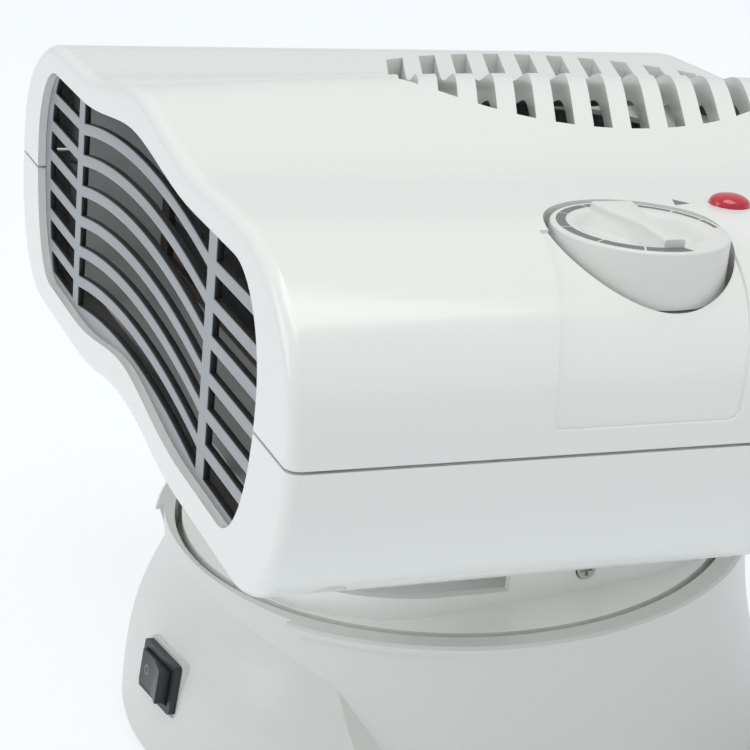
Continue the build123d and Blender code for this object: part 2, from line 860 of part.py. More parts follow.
# Turntable with the neck that carries the heater
deck_low = deck_top - deck_thick
disc_low = ring_height - turntable_thick
slot_near = 44.0
slot_far = 68.5
rib = 2.0
with BuildPart() as neck_tools:
    with BuildSketch(Plane.XY.offset(ring_height)):
        RectangleRounded(2 * neck_half_x, 2 * neck_half_y, neck_corner)
    extrude(amount=60)
    add(outer_form, mode=Mode.SUBTRACT)
    with BuildSketch(tilted_at(0, 0, flat_bottom + 10)):
        Rectangle(400, 400)
    extrude(amount=200, mode=Mode.SUBTRACT)


with BuildPart() as turntable:
    add(neck_tools.part)
    with BuildSketch(Plane.XY.offset(ring_height)):
        RectangleRounded(
            2 * (neck_half_x - neck_wall), 2 * (neck_half_y - neck_wall), neck_corner - neck_wall)
    extrude(amount=60, mode=Mode.SUBTRACT)
    with BuildSketch(tilted_at(0, window_rear - 100, window_sill)):
        Rectangle(300, 200)
    extrude(amount=100, mode=Mode.SUBTRACT)
    with BuildSketch(Plane.XY.offset(disc_low)):
        Circle(turntable_radius)
    extrude(amount=turntable_thick)
    with BuildSketch(Plane.XY.offset(disc_low)):
        Circle(turntable_radius)
        Circle(turntable_radius - neck_wall, mode=Mode.SUBTRACT)
    extrude(amount=-4)
    with BuildSketch(Plane.XY.offset(disc_low)):
        Circle(hub_outer)
    extrude(amount=-(disc_low - deck_low + 7))
    with BuildSketch(Plane.XY.offset(disc_low)):
        with Locations((0, (slot_near + slot_far) / 2)):
            SlotOverall(slot_far - slot_near + 2 * rib, 2 * (pin_radius + pin_clear + rib), rotation=90)
            SlotOverall(slot_far - slot_near, 2 * (pin_radius + pin_clear), rotation=90, mode=Mode.SUBTRACT)
    extrude(amount=-2.8)
    with BuildSketch(Plane.XY.offset(deck_low - 10)):
        Circle(hub_bore)
    extrude(amount=40, mode=Mode.SUBTRACT)
    with BuildSketch(Plane.YZ.offset(-100)):
        with Locations((neck_screw_y, ring_height + neck_screw_z)):
            Circle(screw_radius + 0.1)
    extrude(amount=200, mode=Mode.SUBTRACT)
    for side in (-1, 1):
        with BuildSketch(Plane.YZ.offset(side * neck_half_x)):
            with Locations((neck_screw_y, ring_height + neck_screw_z)):
                Circle(neck_screw_recess)
        extrude(amount=-side * 1.6, mode=Mode.SUBTRACT)
save(turntable, "turntable")

neck_screws = screws(
    [Plane(origin=(side * (neck_half_x - 1.6), neck_screw_y, ring_height + neck_screw_z),
           x_dir=(0, 1, 0), z_dir=(-side, 0, 0)) for side in (-1, 1)], 9, 2.8)
save_set(neck_screws, "neck_screws")

hub_low = deck_low - 7
with BuildPart() as retaining_washer:
    with BuildSketch(Plane.XY.offset(hub_low)):
        Circle(hub_outer + 2)
        Circle(hub_bore, mode=Mode.SUBTRACT)
        with PolarLocations((hub_bore + hub_outer) / 2, 3):
            Circle(1.1, mode=Mode.SUBTRACT)
    extrude(amount=-1.5)
save(retaining_washer, "retaining_washer")

swing_shaft = 3.0
ear_place = 27.0
switch_body_long = 19.0
switch_body_short = 13.0
rocker_long = 16.8
rocker_short = 10.4
rocker_tip = 4.6            # ends of the rocker above its seat, and its middle
rocker_dip = 1.2
bezel_proud = 2.1
gland_z = 16.0
gland_radius = 6.0
gland_bore = 3.6

# Base shell: a flared body of revolution with a raised front apron
deck_radius = turntable_radius + groove


flare_middle = (foot_radius + throat_radius) / 2 - flare_sag
flare_level = (plate_z + ring_height - rim_height) / 2

switch_plane = Plane(
    origin=(0, -foot_radius - switch_step, switch_height),
    x_dir=(1, 0, 0), z_dir=(0, -cos(radians(switch_lean)), sin(radians(switch_lean))))

tip = radians(rocker_swing / 2)
rocker_plane = Plane(
    origin=switch_plane.origin,
    x_dir=switch_plane.x_dir * cos(tip) + switch_plane.z_dir * sin(tip),
    z_dir=-switch_plane.y_dir)


def apron_side(reach):
    """Half section between the line of the raised front and an upright at reach."""
    line = Spline(*[(foot_radius + step, height) for step, height in apron_steps])
    Line(line @ 1, (reach, apron_top))
    Line((reach, apron_top), (reach, plate_z))
    Line((reach, plate_z), line @ 0)


with BuildPart() as front_window:
    with BuildSketch(Plane.XZ.offset(base_wall)):
        with BuildLine():
            right = Spline(*apron_half)
            left = Spline(*[(-x, z) for x, z in apron_half])
            Line(right @ 0, left @ 0)
            Line(right @ 1, left @ 1)
        make_face()
    extrude(amount=foot_radius + 10)

with BuildPart() as apron:
    with BuildSketch(Plane.XZ):
        with BuildLine():
            apron_side(throat_radius / 2)
        make_face()
    revolve(axis=Axis.Z)
    add(front_window.part, mode=Mode.INTERSECT)
    with BuildSketch(switch_plane):
        RectangleRounded(switch_long + 2, switch_short + 2, 2)
    extrude(amount=-base_wall)
    with BuildSketch(switch_plane):
        RectangleRounded(switch_long + 2, switch_short + 2, 2)
    extrude(amount=10, mode=Mode.SUBTRACT)

with BuildPart() as apron_clearing:
    with BuildSketch(Plane.XZ):
        with BuildLine():
            apron_side(foot_radius + 20)
        make_face()
        with Locations((foot_radius + step_top, apron_top)):
            Rectangle(40, 20, align=(Align.MIN, Align.MIN))
    revolve(axis=Axis.Z)
    add(front_window.part, mode=Mode.INTERSECT)
    with BuildSketch(Plane.XY):
        with Locations((0, rim_cut_y)):
            Circle(rim_cut_radius)
    extrude(amount=100, mode=Mode.SUBTRACT)

with BuildPart() as base_shell:
    with BuildSketch(Plane.XZ):
        with BuildLine():
            ThreePointArc(
                (foot_radius, plate_z), (flare_middle, flare_level),
                (throat_radius, ring_height - rim_height))
            Line((throat_radius, ring_height - rim_height), (rim_radius, ring_height - rim_height))
            Line((rim_radius, ring_height - rim_height), (rim_radius, ring_height - 0.8))
            Line((rim_radius, ring_height - 0.8), (rim_radius - 0.8, ring_height))
            Line((rim_radius - 0.8, ring_height), (0, ring_height))
            Line((0, ring_height), (0, plate_z))
            Line((0, plate_z), (foot_radius, plate_z))
        make_face()
    revolve(axis=Axis.Z)
    add(apron_clearing.part, mode=Mode.SUBTRACT)
    add(apron.part)
    with BuildSketch(Plane.XY.offset(deck_top)):
        Circle(deck_radius)
    extrude(amount=40, mode=Mode.SUBTRACT)
    with BuildSketch(Plane.XZ):
        with BuildLine():
            Polyline(
                (foot_radius - base_wall, plate_z), (flare_middle - base_wall, flare_level),
                (throat_radius - base_wall, ring_height - rim_height))
            Line((throat_radius - base_wall, ring_height - rim_height), (0, ring_height - rim_height))
            Line((0, ring_height - rim_height), (0, plate_z))
            Line((0, plate_z), (foot_radius - base_wall, plate_z))
        make_face()
        with Locations((0, plate_z)):
            Rectangle(foot_radius, deck_low - plate_z, align=(Align.MIN, Align.MIN), mode=Mode.INTERSECT)
    revolve(axis=Axis.Z, mode=Mode.SUBTRACT)
    with BuildSketch(Plane.XY.offset(hub_low + 0.4)):
        Circle(hub_outer + 2.5)
    extrude(amount=deck_low - hub_low)
    with BuildSketch(Plane.XY.offset(hub_low - 5)):
        Circle(hub_outer + hub_clear)
    extrude(amount=40, mode=Mode.SUBTRACT)
    with BuildSketch(Plane.XY.offset(plate_z + plate_thick)):
        with PolarLocations(boss_place, 4, 45):
            Circle(boss_radius)
            Circle(screw_radius + 0.1, mode=Mode.SUBTRACT)
    extrude(amount=deck_low - plate_z - plate_thick)
    with BuildSketch(Plane.XY.offset(deck_low - 2)):
        with Locations((0, crank_place)):
            Circle(swing_shaft + 0.5)
    extrude(amount=10, mode=Mode.SUBTRACT)
    with BuildSketch(Plane.XY.offset(deck_low - 1)):
        with Locations((0, crank_place)):
            with GridLocations(2 * ear_place, 1, 2, 1):
                Circle(screw_radius + 0.1)
    extrude(amount=deck_thick + 0.5, mode=Mode.SUBTRACT)
    with BuildSketch(switch_plane.offset(2)):
        Rectangle(switch_body_long + 0.4, switch_body_short + 0.4)
    extrude(amount=-14, mode=Mode.SUBTRACT)
    with BuildSketch(Plane.XZ.offset(-foot_radius + 20)):
        with Locations((0, gland_z)):
            Circle(gland_radius + 0.1)
    extrude(amount=-30, mode=Mode.SUBTRACT)
save(base_shell, "base_shell", base_turn)

with BuildPart() as base_plate:
    with BuildSketch(Plane.XY.offset(plate_z)):
        Circle(foot_radius - base_wall - fit_gap - plate_thick / 3)
    extrude(amount=plate_thick)
    with BuildSketch(Plane.XY.offset(plate_z)):
        with PolarLocations(pad_place, 4, 0):
            Circle(pad_radius + 0.1)
    extrude(amount=1, mode=Mode.SUBTRACT)
    with BuildSketch(Plane.XY.offset(plate_z)):
        with PolarLocations(boss_place, 4, 45):
            Circle(screw_radius + 0.3)
    extrude(amount=plate_thick, mode=Mode.SUBTRACT)
    with BuildSketch(Plane.XY.offset(plate_z)):
        with PolarLocations(boss_place, 4, 45):
            Circle(3.4)
    extrude(amount=1, mode=Mode.SUBTRACT)
    with BuildSketch(Plane.XY.offset(plate_z)):
        with Locations((0, 30), (0, -30)):
            with GridLocations(10, 1, 5, 1):
                SlotOverall(20, 4, rotation=90)
    extrude(amount=plate_thick, mode=Mode.SUBTRACT)
save(base_plate, "base_plate", base_turn)

base_screws = screws(
    [turned(Plane(origin=(boss_place * cos(radians(a)), boss_place * sin(radians(a)), plate_z + 1)))
     for a in (45, 135, 225, 315)], 14, 3.0)
save_set(base_screws, "base_screws")

with BuildPart() as pads:
    with BuildSketch(Plane.XY):
        with PolarLocations(pad_place, 4, 0):
            Circle(pad_radius)
    extrude(amount=pad_height)
    chamfer(pads.edges().group_by(Axis.Z)[0], 0.6)
save(pads, "rubber_feet", base_turn)

with BuildPart() as bearing_ring:
    with BuildSketch(Plane.XY.offset(deck_top)):
        Circle(78)
        Circle(72, mode=Mode.SUBTRACT)
    extrude(amount=disc_low - deck_top - fit_gap)
save(bearing_ring, "bearing_ring", base_turn)

with BuildPart() as swing_motor:
    with BuildSketch(Plane.XY.offset(deck_low)):
        with Locations((0, crank_place)):
            Circle(swing_motor_radius)
    extrude(amount=-swing_motor_height)
    chamfer(swing_motor.edges().group_by(Axis.Z)[0], 1.5)
    with BuildSketch(Plane.XY.offset(deck_low)):
        with Locations((0, crank_place)):
            SlotOverall(2 * ear_place + 8, 8)
            with GridLocations(2 * ear_place, 1, 2, 1):
                Circle(screw_radius + 0.1, mode=Mode.SUBTRACT)
    extrude(amount=-1.2)
    with BuildSketch(Plane.XY.offset(deck_low)):
        with Locations((0, crank_place)):
            Circle(swing_shaft + hub_clear)
    extrude(amount=-12, mode=Mode.SUBTRACT)
save(swing_motor, "swing_motor", base_turn)

swing_motor_screws = screws(
    [turned(Plane(origin=(side * ear_place, crank_place, deck_low - 1.2))) for side in (-1, 1)], 3.4, 2.8)
save_set(swing_motor_screws, "swing_motor_screws")

crank_low = deck_top + 0.6
crank_thick = 2.4
pin_top = disc_low - 0.6
crank_plane = spun(Plane(origin=(0, crank_place, 0)), -crank_ratio * base_turn)
with BuildPart() as crank:
    with BuildSketch(crank_plane.offset(crank_low)):
        with Locations((0, crank_radius / 2)):
            SlotOverall(crank_radius + 9, 9, rotation=90)
        Circle(7)
    extrude(amount=crank_thick)
    with BuildSketch(crank_plane.offset(crank_low)):
        with Locations((0, crank_radius)):
            Circle(pin_radius)
    extrude(amount=pin_top - crank_low)
    with BuildSketch(crank_plane.offset(deck_low - 11)):
        Circle(swing_shaft)
    extrude(amount=crank_low - deck_low + 12)
save(crank, "swing_crank", base_turn)

# Rocker switch
rocker_half = rocker_long / 2 - 0.5
with BuildPart() as rocker_bezel:
    with BuildSketch(switch_plane):
        RectangleRounded(switch_long, switch_short, 1)
        Rectangle(rocker_long + 0.5, rocker_short + 0.5, mode=Mode.SUBTRACT)
    extrude(amount=bezel_proud)
    with BuildSketch(switch_plane):
        Rectangle(switch_body_long, switch_body_short)
        Rectangle(rocker_long + 0.5, rocker_short + 0.5, mode=Mode.SUBTRACT)
    extrude(amount=-9)
    with BuildSketch(switch_plane.offset(-9)):
        Rectangle(switch_body_long, switch_body_short)
    extrude(amount=-6)
    with BuildSketch(switch_plane.offset(-15)):
        with GridLocations(7, 1, 3, 1):
            Rectangle(0.8, 4.8)
    extrude(amount=-6)
save(rocker_bezel, "rocker_bezel", base_turn)

with BuildPart() as rocker:
    with BuildSketch(rocker_plane):
        with BuildLine():
            Polyline(
                (-rocker_half, rocker_tip), (0, rocker_dip), (rocker_half, rocker_tip),
                (rocker_half - 0.3, -1), (0, -6), (0.3 - rocker_half, -1), close=True)
        make_face()
    extrude(amount=rocker_short / 2, both=True)
save(rocker, "rocker", base_turn)

# Supply inlet at the back of the base
with BuildPart() as cord_gland:
    with BuildSketch(Plane.XZ.offset(-foot_radius + 8)):
        with Locations((0, gland_z)):
            Circle(gland_radius)
            Circle(gland_bore, mode=Mode.SUBTRACT)
    extrude(amount=-9)
save(cord_gland, "cord_gland", base_turn)
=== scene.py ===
import json
import math

import bmesh
import bpy
import numpy as np
from mathutils import Matrix, Vector


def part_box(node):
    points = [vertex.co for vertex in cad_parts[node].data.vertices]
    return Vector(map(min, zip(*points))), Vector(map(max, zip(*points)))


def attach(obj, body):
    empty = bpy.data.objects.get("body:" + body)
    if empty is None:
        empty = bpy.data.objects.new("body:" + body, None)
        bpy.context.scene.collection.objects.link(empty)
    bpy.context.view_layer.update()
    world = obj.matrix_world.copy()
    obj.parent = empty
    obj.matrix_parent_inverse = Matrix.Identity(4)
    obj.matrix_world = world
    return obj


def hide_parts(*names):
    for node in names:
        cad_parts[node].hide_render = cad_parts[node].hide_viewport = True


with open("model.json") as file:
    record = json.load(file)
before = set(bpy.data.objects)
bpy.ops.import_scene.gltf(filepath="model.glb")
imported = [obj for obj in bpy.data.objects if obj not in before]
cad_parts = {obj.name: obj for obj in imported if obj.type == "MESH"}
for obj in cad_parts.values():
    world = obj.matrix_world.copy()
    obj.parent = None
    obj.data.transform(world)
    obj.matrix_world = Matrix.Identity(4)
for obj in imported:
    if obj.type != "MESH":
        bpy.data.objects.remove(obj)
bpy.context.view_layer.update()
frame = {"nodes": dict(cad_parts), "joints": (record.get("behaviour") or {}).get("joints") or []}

bl_info = {
    "name": "Swivelling Fan Heater",
    "version": (1, 0, 0),
    "blender": (4, 5, 0),
    "location": "View3D > Sidebar > Fan Heater",
    "description": "Dresses the fan heater's packed model and lights it for a plain studio view",
    "category": "Object",
}

MM = 0.001
GLOW_STRENGTH = 1.05


def joint_named(name):
    """The record's joint of that name."""
    return next(joint for joint in frame["joints"] if joint["name"] == name)


FAN_AXIS = Vector(joint_named("fan_spin")["axis"])
RING_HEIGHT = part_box("base_shell")[1][2] / MM
PITCH = math.atan2(FAN_AXIS.y, FAN_AXIS.z)


def heater_box(node):
    """Lowest and highest corners, in mm, of a CAD node in the pitched housing frame."""
    mesh = frame["nodes"][node].data
    world = np.empty(3 * len(mesh.vertices))
    mesh.vertices.foreach_get("co", world)
    x, y, z = world.reshape(-1, 3).T / MM
    lift, lean = math.cos(PITCH), math.sin(PITCH)
    drop = z - RING_HEIGHT
    local = np.stack([x, y * lift - drop * lean, y * lean + drop * lift], axis=-1)
    return local.min(axis=0), local.max(axis=0)


def heater_points(points):
    """World places, in metres, of an array of points of the pitched housing frame in mm."""
    lift, lean = math.cos(PITCH), math.sin(PITCH)
    x, y, z = points[..., 0], points[..., 1], points[..., 2]
    return np.stack([x, y * lift + z * lean, RING_HEIGHT - y * lean + z * lift], axis=-1) * MM


# Properties

class HeaterFinish(bpy.types.PropertyGroup):
    """Colours and finishes of the moulded parts."""

    housing: bpy.props.FloatVectorProperty(
        name="Housing", description="Colour of the two housings", subtype="COLOR",
        size=3, min=0.0, max=1.0, default=(0.835, 0.835, 0.805))
    # The base colour is set darker than the plain white, as painted shade on the base's cone.
    base: bpy.props.FloatVectorProperty(
        name="Base", description="Colour of the base", subtype="COLOR",
        size=3, min=0.0, max=1.0, default=(0.75, 0.745, 0.715))
    knob: bpy.props.FloatVectorProperty(
        name="Knob", description="Colour of the dials", subtype="COLOR",
        size=3, min=0.0, max=1.0, default=(0.76, 0.76, 0.73))
    # The neck colour is set lighter than the base, as painted light where the housing shades the
    # neck.
    neck: bpy.props.FloatVectorProperty(
        name="Neck", description="Colour of the turntable and its neck", subtype="COLOR",
        size=3, min=0.0, max=1.0, default=(0.93, 0.93, 0.905))
    grille_face: bpy.props.FloatVectorProperty(
        name="Grille face", description="Silver paint on the front of the slats",
        subtype="COLOR", size=3, min=0.0, max=1.0, default=(0.37, 0.385, 0.405))
    grille_body: bpy.props.FloatVectorProperty(
        name="Grille body", description="Black plastic behind the painted face",
        subtype="COLOR", size=3, min=0.0, max=1.0, default=(0.022, 0.022, 0.024))
    lens: bpy.props.FloatVectorProperty(
        name="Lamp lens", description="Colour of the pilot lamp", subtype="COLOR",
        size=3, min=0.0, max=1.0, default=(0.40, 0.0, 0.012))
    print_grey: bpy.props.FloatVectorProperty(
        name="Printed grey", description="Ink of the dial marks", subtype="COLOR",
        size=3, min=0.0, max=1.0, default=(0.17, 0.175, 0.18))
    grain_size: bpy.props.FloatProperty(
        name="Grain", description="Size of the fine grain on the mouldings, in mm",
        default=0.35, min=0.05, max=5.0)


class GrilleSettings(bpy.types.PropertyGroup):
    """Slats of the grille, in mm and in the housing's frame."""

    rows: bpy.props.IntProperty(
        name="Rows", description="Openings one above another", default=7, min=1)
    pitch: bpy.props.FloatProperty(name="Pitch", description="Spacing of the rows", default=9.5)
    top: bpy.props.FloatProperty(
        name="Top", description="Top of the first opening", default=108.1)
    height: bpy.props.FloatProperty(
        name="Height", description="Height of an opening", default=5.7)
    arch: bpy.props.FloatProperty(
        name="Arch", description="Rise of the middle field's openings", default=6.5)
    bar: bpy.props.FloatProperty(
        name="Bar", description="Place of the upright bars", default=68.5)
    bar_width: bpy.props.FloatProperty(
        name="Bar width", description="Width of a bar", default=7.0)
    field: bpy.props.FloatVectorProperty(
        name="Field", description="Centre and half width of the rounded ends of the field",
        size=3, default=(93.0, 84.0, 15.3))
    reach: bpy.props.FloatVectorProperty(
        name="Reach", description="Height of the field's ends above and below their centre",
        size=2, default=(27.0, 42.0))
    rim: bpy.props.FloatVectorProperty(
        name="Rim", description="Bottom and top of the grille's outer edge", size=2,
        default=(40.8, 113.0))
    rim_rise: bpy.props.FloatVectorProperty(
        name="Rim rise", description="Rise of that edge in the middle, at bottom and top",
        size=2, default=(6.7, 5.7))
    rim_arch: bpy.props.FloatProperty(
        name="Rim arch", description="Half width of that rise", default=60.0)
    rim_inset: bpy.props.FloatProperty(
        name="Rim inset", description="Distance inside the plain grille's ends", default=0.8)
    inset: bpy.props.FloatProperty(
        name="Inset", description="Distance behind the plain grille's face", default=0.05)
    depth: bpy.props.FloatProperty(name="Depth", description="Depth of a slat", default=2.0)
    edge: bpy.props.FloatProperty(
        name="Edge", description="Round of a slat's edges", default=0.45)


class FinSettings(bpy.types.PropertyGroup):
    """Corrugated strips between the heater bars."""

    strips: bpy.props.IntProperty(
        name="Strips", description="Strips one above another", default=4, min=1)
    pitch: bpy.props.FloatProperty(
        name="Pitch", description="Spacing of the folds, in mm", default=0.85, min=0.3)


class LampSettings(bpy.types.PropertyGroup):
    """Lens of the pilot lamp, in mm from the top of the plain lens."""

    flange: bpy.props.FloatProperty(
        name="Flange", description="Reach of the flange past the lens", default=1.6)
    lift: bpy.props.FloatProperty(
        name="Lift", description="Height of the dome's foot", default=0.1)
    dome: bpy.props.FloatProperty(name="Dome", description="Height of the dome", default=2.3)
    shelf: bpy.props.FloatVectorProperty(
        name="Shelf", description="Depth of the flange's upper and lower faces", size=2,
        default=(3.3, 4.4))


class RockerSettings(bpy.types.PropertyGroup):
    """Rocker of the switch, in mm, with heights from its hinge."""

    half: bpy.props.FloatProperty(name="Half", description="Half of its length", default=7.9)
    dip: bpy.props.FloatProperty(
        name="Dip", description="Height of its face in the middle", default=3.4)
    tip: bpy.props.FloatProperty(
        name="Tip", description="Height of its face at the ends", default=4.5)
    keel: bpy.props.FloatProperty(name="Keel", description="Depth of its keel", default=6.0)
    width: bpy.props.FloatProperty(name="Width", description="Its width", default=10.3)
    edge: bpy.props.FloatProperty(name="Edge", description="Round of its edges", default=0.35)
    ring: bpy.props.FloatVectorProperty(
        name="Ring", description="Inner and outer radius of the off mark", size=2,
        default=(0.95, 1.3))
    stroke: bpy.props.FloatVectorProperty(
        name="Stroke", description="Half width and half height of the on mark", size=2,
        default=(0.2, 1.4))
    ink: bpy.props.FloatProperty(name="Ink", description="Height of the print", default=0.03)


class DialSettings(bpy.types.PropertyGroup):
    """The dials and the thermostat's marks, in mm, with angles in degrees about its axis."""

    brim: bpy.props.FloatProperty(
        name="Brim", description="Distance from the dial's edge to the scale", default=1.5)
    grip: bpy.props.FloatProperty(
        name="Grip", description="Height of the grip above the dial's face", default=2.0)
    edge: bpy.props.FloatProperty(
        name="Edge", description="Round of the dial's and the grip's edges", default=0.7)
    dish: bpy.props.FloatProperty(
        name="Dish", description="Depth of the sunk middle", default=3.0)
    dish_radius: bpy.props.FloatProperty(
        name="Dish radius", description="Radius of the sunk middle at the face", default=16.6)
    slope: bpy.props.FloatProperty(
        name="Slope", description="Width of the slope round the sunk middle", default=4.5)
    grip_far: bpy.props.FloatProperty(
        name="Far end", description="Broad end of the grip", default=-15.6)
    grip_near: bpy.props.FloatProperty(
        name="Near end", description="Narrow end of the grip", default=17.2)
    waist: bpy.props.FloatProperty(
        name="Waist", description="Narrowest place of the grip", default=5.0)
    halves: bpy.props.FloatVectorProperty(
        name="Half widths", description="Half width of the grip's top: waist, broad, narrow",
        size=3, default=(1.7, 5.6, 2.7))
    flare: bpy.props.FloatVectorProperty(
        name="Flare", description="Widening of the grip's foot at the waist and the broad end",
        size=2, default=(0.8, 5.0))
    start: bpy.props.FloatProperty(
        name="Start", description="Thin end of the scale", default=84.0)
    end: bpy.props.FloatProperty(
        name="End", description="Thick end of the scale", default=367.0)
    slant: bpy.props.FloatProperty(
        name="Slant", description="Angle by which the thick end is pointed", default=3.6)
    thin: bpy.props.FloatProperty(name="Thin", description="Width at the thin end", default=1.1)
    thick: bpy.props.FloatProperty(
        name="Thick", description="Width at the thick end", default=3.4)
    gap: bpy.props.FloatProperty(name="Gap", description="Space between two blocks", default=0.55)
    ink: bpy.props.FloatProperty(name="Ink", description="Height of the print", default=0.04)


class StudioSettings(bpy.types.PropertyGroup):
    """Camera and lights of the plain studio."""

    surround: bpy.props.FloatProperty(
        name="Surround", description="Strength of the even light from all sides", default=0.61)
    overhead: bpy.props.FloatProperty(
        name="Overhead", description="Overhead lamp, in W", default=8.2)
    beside: bpy.props.FloatProperty(name="Beside", description="Side lamp, in W", default=0.4)
    ahead: bpy.props.FloatProperty(name="Ahead", description="Front lamp, in W", default=4.5)
    glow: bpy.props.FloatProperty(
        name="Glow", description="Share of the floor's light that the camera sees as its own",
        default=0.8, min=0.0, max=1.0)
    mirrored: bpy.props.FloatProperty(
        name="Mirrored", description="The same share for what is reflected",
        default=0.42, min=0.0, max=1.0)
    azimuth: bpy.props.FloatProperty(
        name="Azimuth", description="Bearing of the camera about the heater, in degrees",
        default=69.3)
    elevation: bpy.props.FloatProperty(
        name="Elevation", description="Camera angle above the floor, in degrees", default=21.81)
    lens: bpy.props.FloatProperty(
        name="Lens", description="Focal length, in mm, on a 36 mm sensor", default=98.32, min=10.0)
    camera_place: bpy.props.FloatVectorProperty(
        name="Camera place", description="Camera position above the turntable centre",
        subtype="TRANSLATION", size=3, default=(0.5213, -0.2217, 0.26835))
    floor_colour: bpy.props.FloatVectorProperty(
        name="Floor", description="Colour of the floor and the backdrop", subtype="COLOR",
        size=3, min=0.0, max=1.0, default=(0.93, 0.965, 0.985))


# Node helpers

def shader_group(name, inputs, outputs):
    """New shader node group with the given sockets; returns it with its end nodes."""
    group = bpy.data.node_groups.new(name, "ShaderNodeTree")
    for label, kind, default in inputs:
        socket = group.interface.new_socket(label, in_out="INPUT", socket_type=kind)
        socket.default_value = default
    for label, kind in outputs:
        group.interface.new_socket(label, in_out="OUTPUT", socket_type=kind)
    return group, group.nodes.new("NodeGroupInput"), group.nodes.new("NodeGroupOutput")


def math_node(tree, operation, first, second=0.0, third=None):
    """Math node fed by sockets or plain numbers; returns its output."""
    node = tree.nodes.new("ShaderNodeMath")
    node.operation = operation
    for index, value in enumerate((first, second, third)):
        if isinstance(value, bpy.types.NodeSocket):
            tree.links.new(value, node.inputs[index])
        elif value is not None:
            node.inputs[index].default_value = value
    return node.outputs[0]


def build_grain_group():
    """Fine moulded grain: noise over the object gives a normal and a roughness spread."""
    group, source, sink = shader_group(
        "Moulded Grain",
        [("Size", "NodeSocketFloat", 0.35), ("Depth", "NodeSocketFloat", 0.02),
         ("Roughness", "NodeSocketFloat", 0.35), ("Spread", "NodeSocketFloat", 0.05)],
        [("Roughness", "NodeSocketFloat"), ("Normal", "NodeSocketVector")])
    links = group.links
    place = group.nodes.new("ShaderNodeTexCoord")
    scale = math_node(group, "DIVIDE", 1000.0, source.outputs["Size"])
    fine = group.nodes.new("ShaderNodeTexNoise")
    fine.inputs["Detail"].default_value = 2.0
    links.new(place.outputs["Object"], fine.inputs["Vector"])
    links.new(scale, fine.inputs["Scale"])
    broad = group.nodes.new("ShaderNodeTexNoise")
    broad.inputs["Scale"].default_value = 22.0
    broad.inputs["Detail"].default_value = 3.0
    links.new(place.outputs["Object"], broad.inputs["Vector"])
    centred = math_node(group, "SUBTRACT", broad.outputs["Fac"], 0.5)
    swing = math_node(group, "MULTIPLY", centred, source.outputs["Spread"])
    rough = math_node(group, "ADD", swing, source.outputs["Roughness"])
    links.new(rough, sink.inputs["Roughness"])
    bump = group.nodes.new("ShaderNodeBump")
    bump.inputs["Distance"].default_value = 0.0002
    links.new(source.outputs["Depth"], bump.inputs["Strength"])
    links.new(fine.outputs["Fac"], bump.inputs["Height"])
    links.new(bump.outputs["Normal"], sink.inputs["Normal"])


def build_tint_group():
    """Slow colour drift of a moulding: noise over the object mixes two close tones."""
    group, source, sink = shader_group(
        "Moulding Tone",
        [("Colour", "NodeSocketColor", (0.8, 0.8, 0.8, 1.0)),
         ("Drift", "NodeSocketColor", (0.7, 0.7, 0.7, 1.0)),
         ("Scale", "NodeSocketFloat", 9.0), ("Amount", "NodeSocketFloat", 0.3)],
        [("Colour", "NodeSocketColor")])
    place = group.nodes.new("ShaderNodeTexCoord")
    noise = group.nodes.new("ShaderNodeTexNoise")
    noise.inputs["Detail"].default_value = 4.0
    group.links.new(place.outputs["Object"], noise.inputs["Vector"])
    group.links.new(source.outputs["Scale"], noise.inputs["Scale"])
    share = math_node(group, "MULTIPLY", noise.outputs["Fac"], source.outputs["Amount"])
    mix = group.nodes.new("ShaderNodeMix")
    mix.data_type = "RGBA"
    group.links.new(share, mix.inputs["Factor"])
    group.links.new(source.outputs["Colour"], mix.inputs[6])
    group.links.new(source.outputs["Drift"], mix.inputs[7])
    group.links.new(mix.outputs[2], sink.inputs["Colour"])


def rgba(colour):
    """Colour with full opacity."""
    return (colour[0], colour[1], colour[2], 1.0)


def scaled(colour, factor):
    """Colour made darker by a factor."""
    return [factor * part for part in colour]


def new_material(name):
    """New node material; returns it with its tree and its Principled shader."""
    material = bpy.data.materials.new(name)
    material.use_nodes = True
    tree = material.node_tree
    shader = next(node for node in tree.nodes if node.type == "BSDF_PRINCIPLED")
    return material, tree, shader


def add_group(tree, name, **values):
    """Places a shared group in a material and sets its inputs."""
    node = tree.nodes.new("ShaderNodeGroup")
    node.node_tree = bpy.data.node_groups[name]
    for label, value in values.items():
        node.inputs[label].default_value = value
    return node


def toned(name, colour, drift, amount, **grain_values):
    """Material with a drifting tone, fine grain and uneven roughness."""
    material, tree, shader = new_material(name)
    tone = add_group(tree, "Moulding Tone", Colour=rgba(colour), Drift=rgba(drift), Amount=amount)
    tree.links.new(tone.outputs["Colour"], shader.inputs["Base Color"])
    add_grain(tree, shader, **grain_values)
    return material, shader


def add_grain(tree, shader, **values):
    """Grain that gives the shader its roughness and its normal."""
    grain = add_group(tree, "Moulded Grain", **values)
    tree.links.new(grain.outputs["Roughness"], shader.inputs["Roughness"])
    tree.links.new(grain.outputs["Normal"], shader.inputs["Normal"])


def moulding(name, colour, drift, size=0.35, depth=0.1, roughness=0.3, coat=0.0):
    """Injection-moulded plastic."""
    material, shader = toned(name, colour, drift, 0.12, Size=size, Depth=depth,
                             Roughness=roughness, Spread=0.03)
    shader.inputs["Coat Weight"].default_value = coat
    shader.inputs["Coat Roughness"].default_value = 0.12
    return material


def metal(name, colour, roughness):
    """Plain metal with a slightly uneven surface."""
    material, shader = toned(name, colour, scaled(colour, 0.7), 0.4, Size=0.6, Depth=0.3,
                             Roughness=roughness, Spread=0.1)
    shader.inputs["Metallic"].default_value = 1.0
    return material


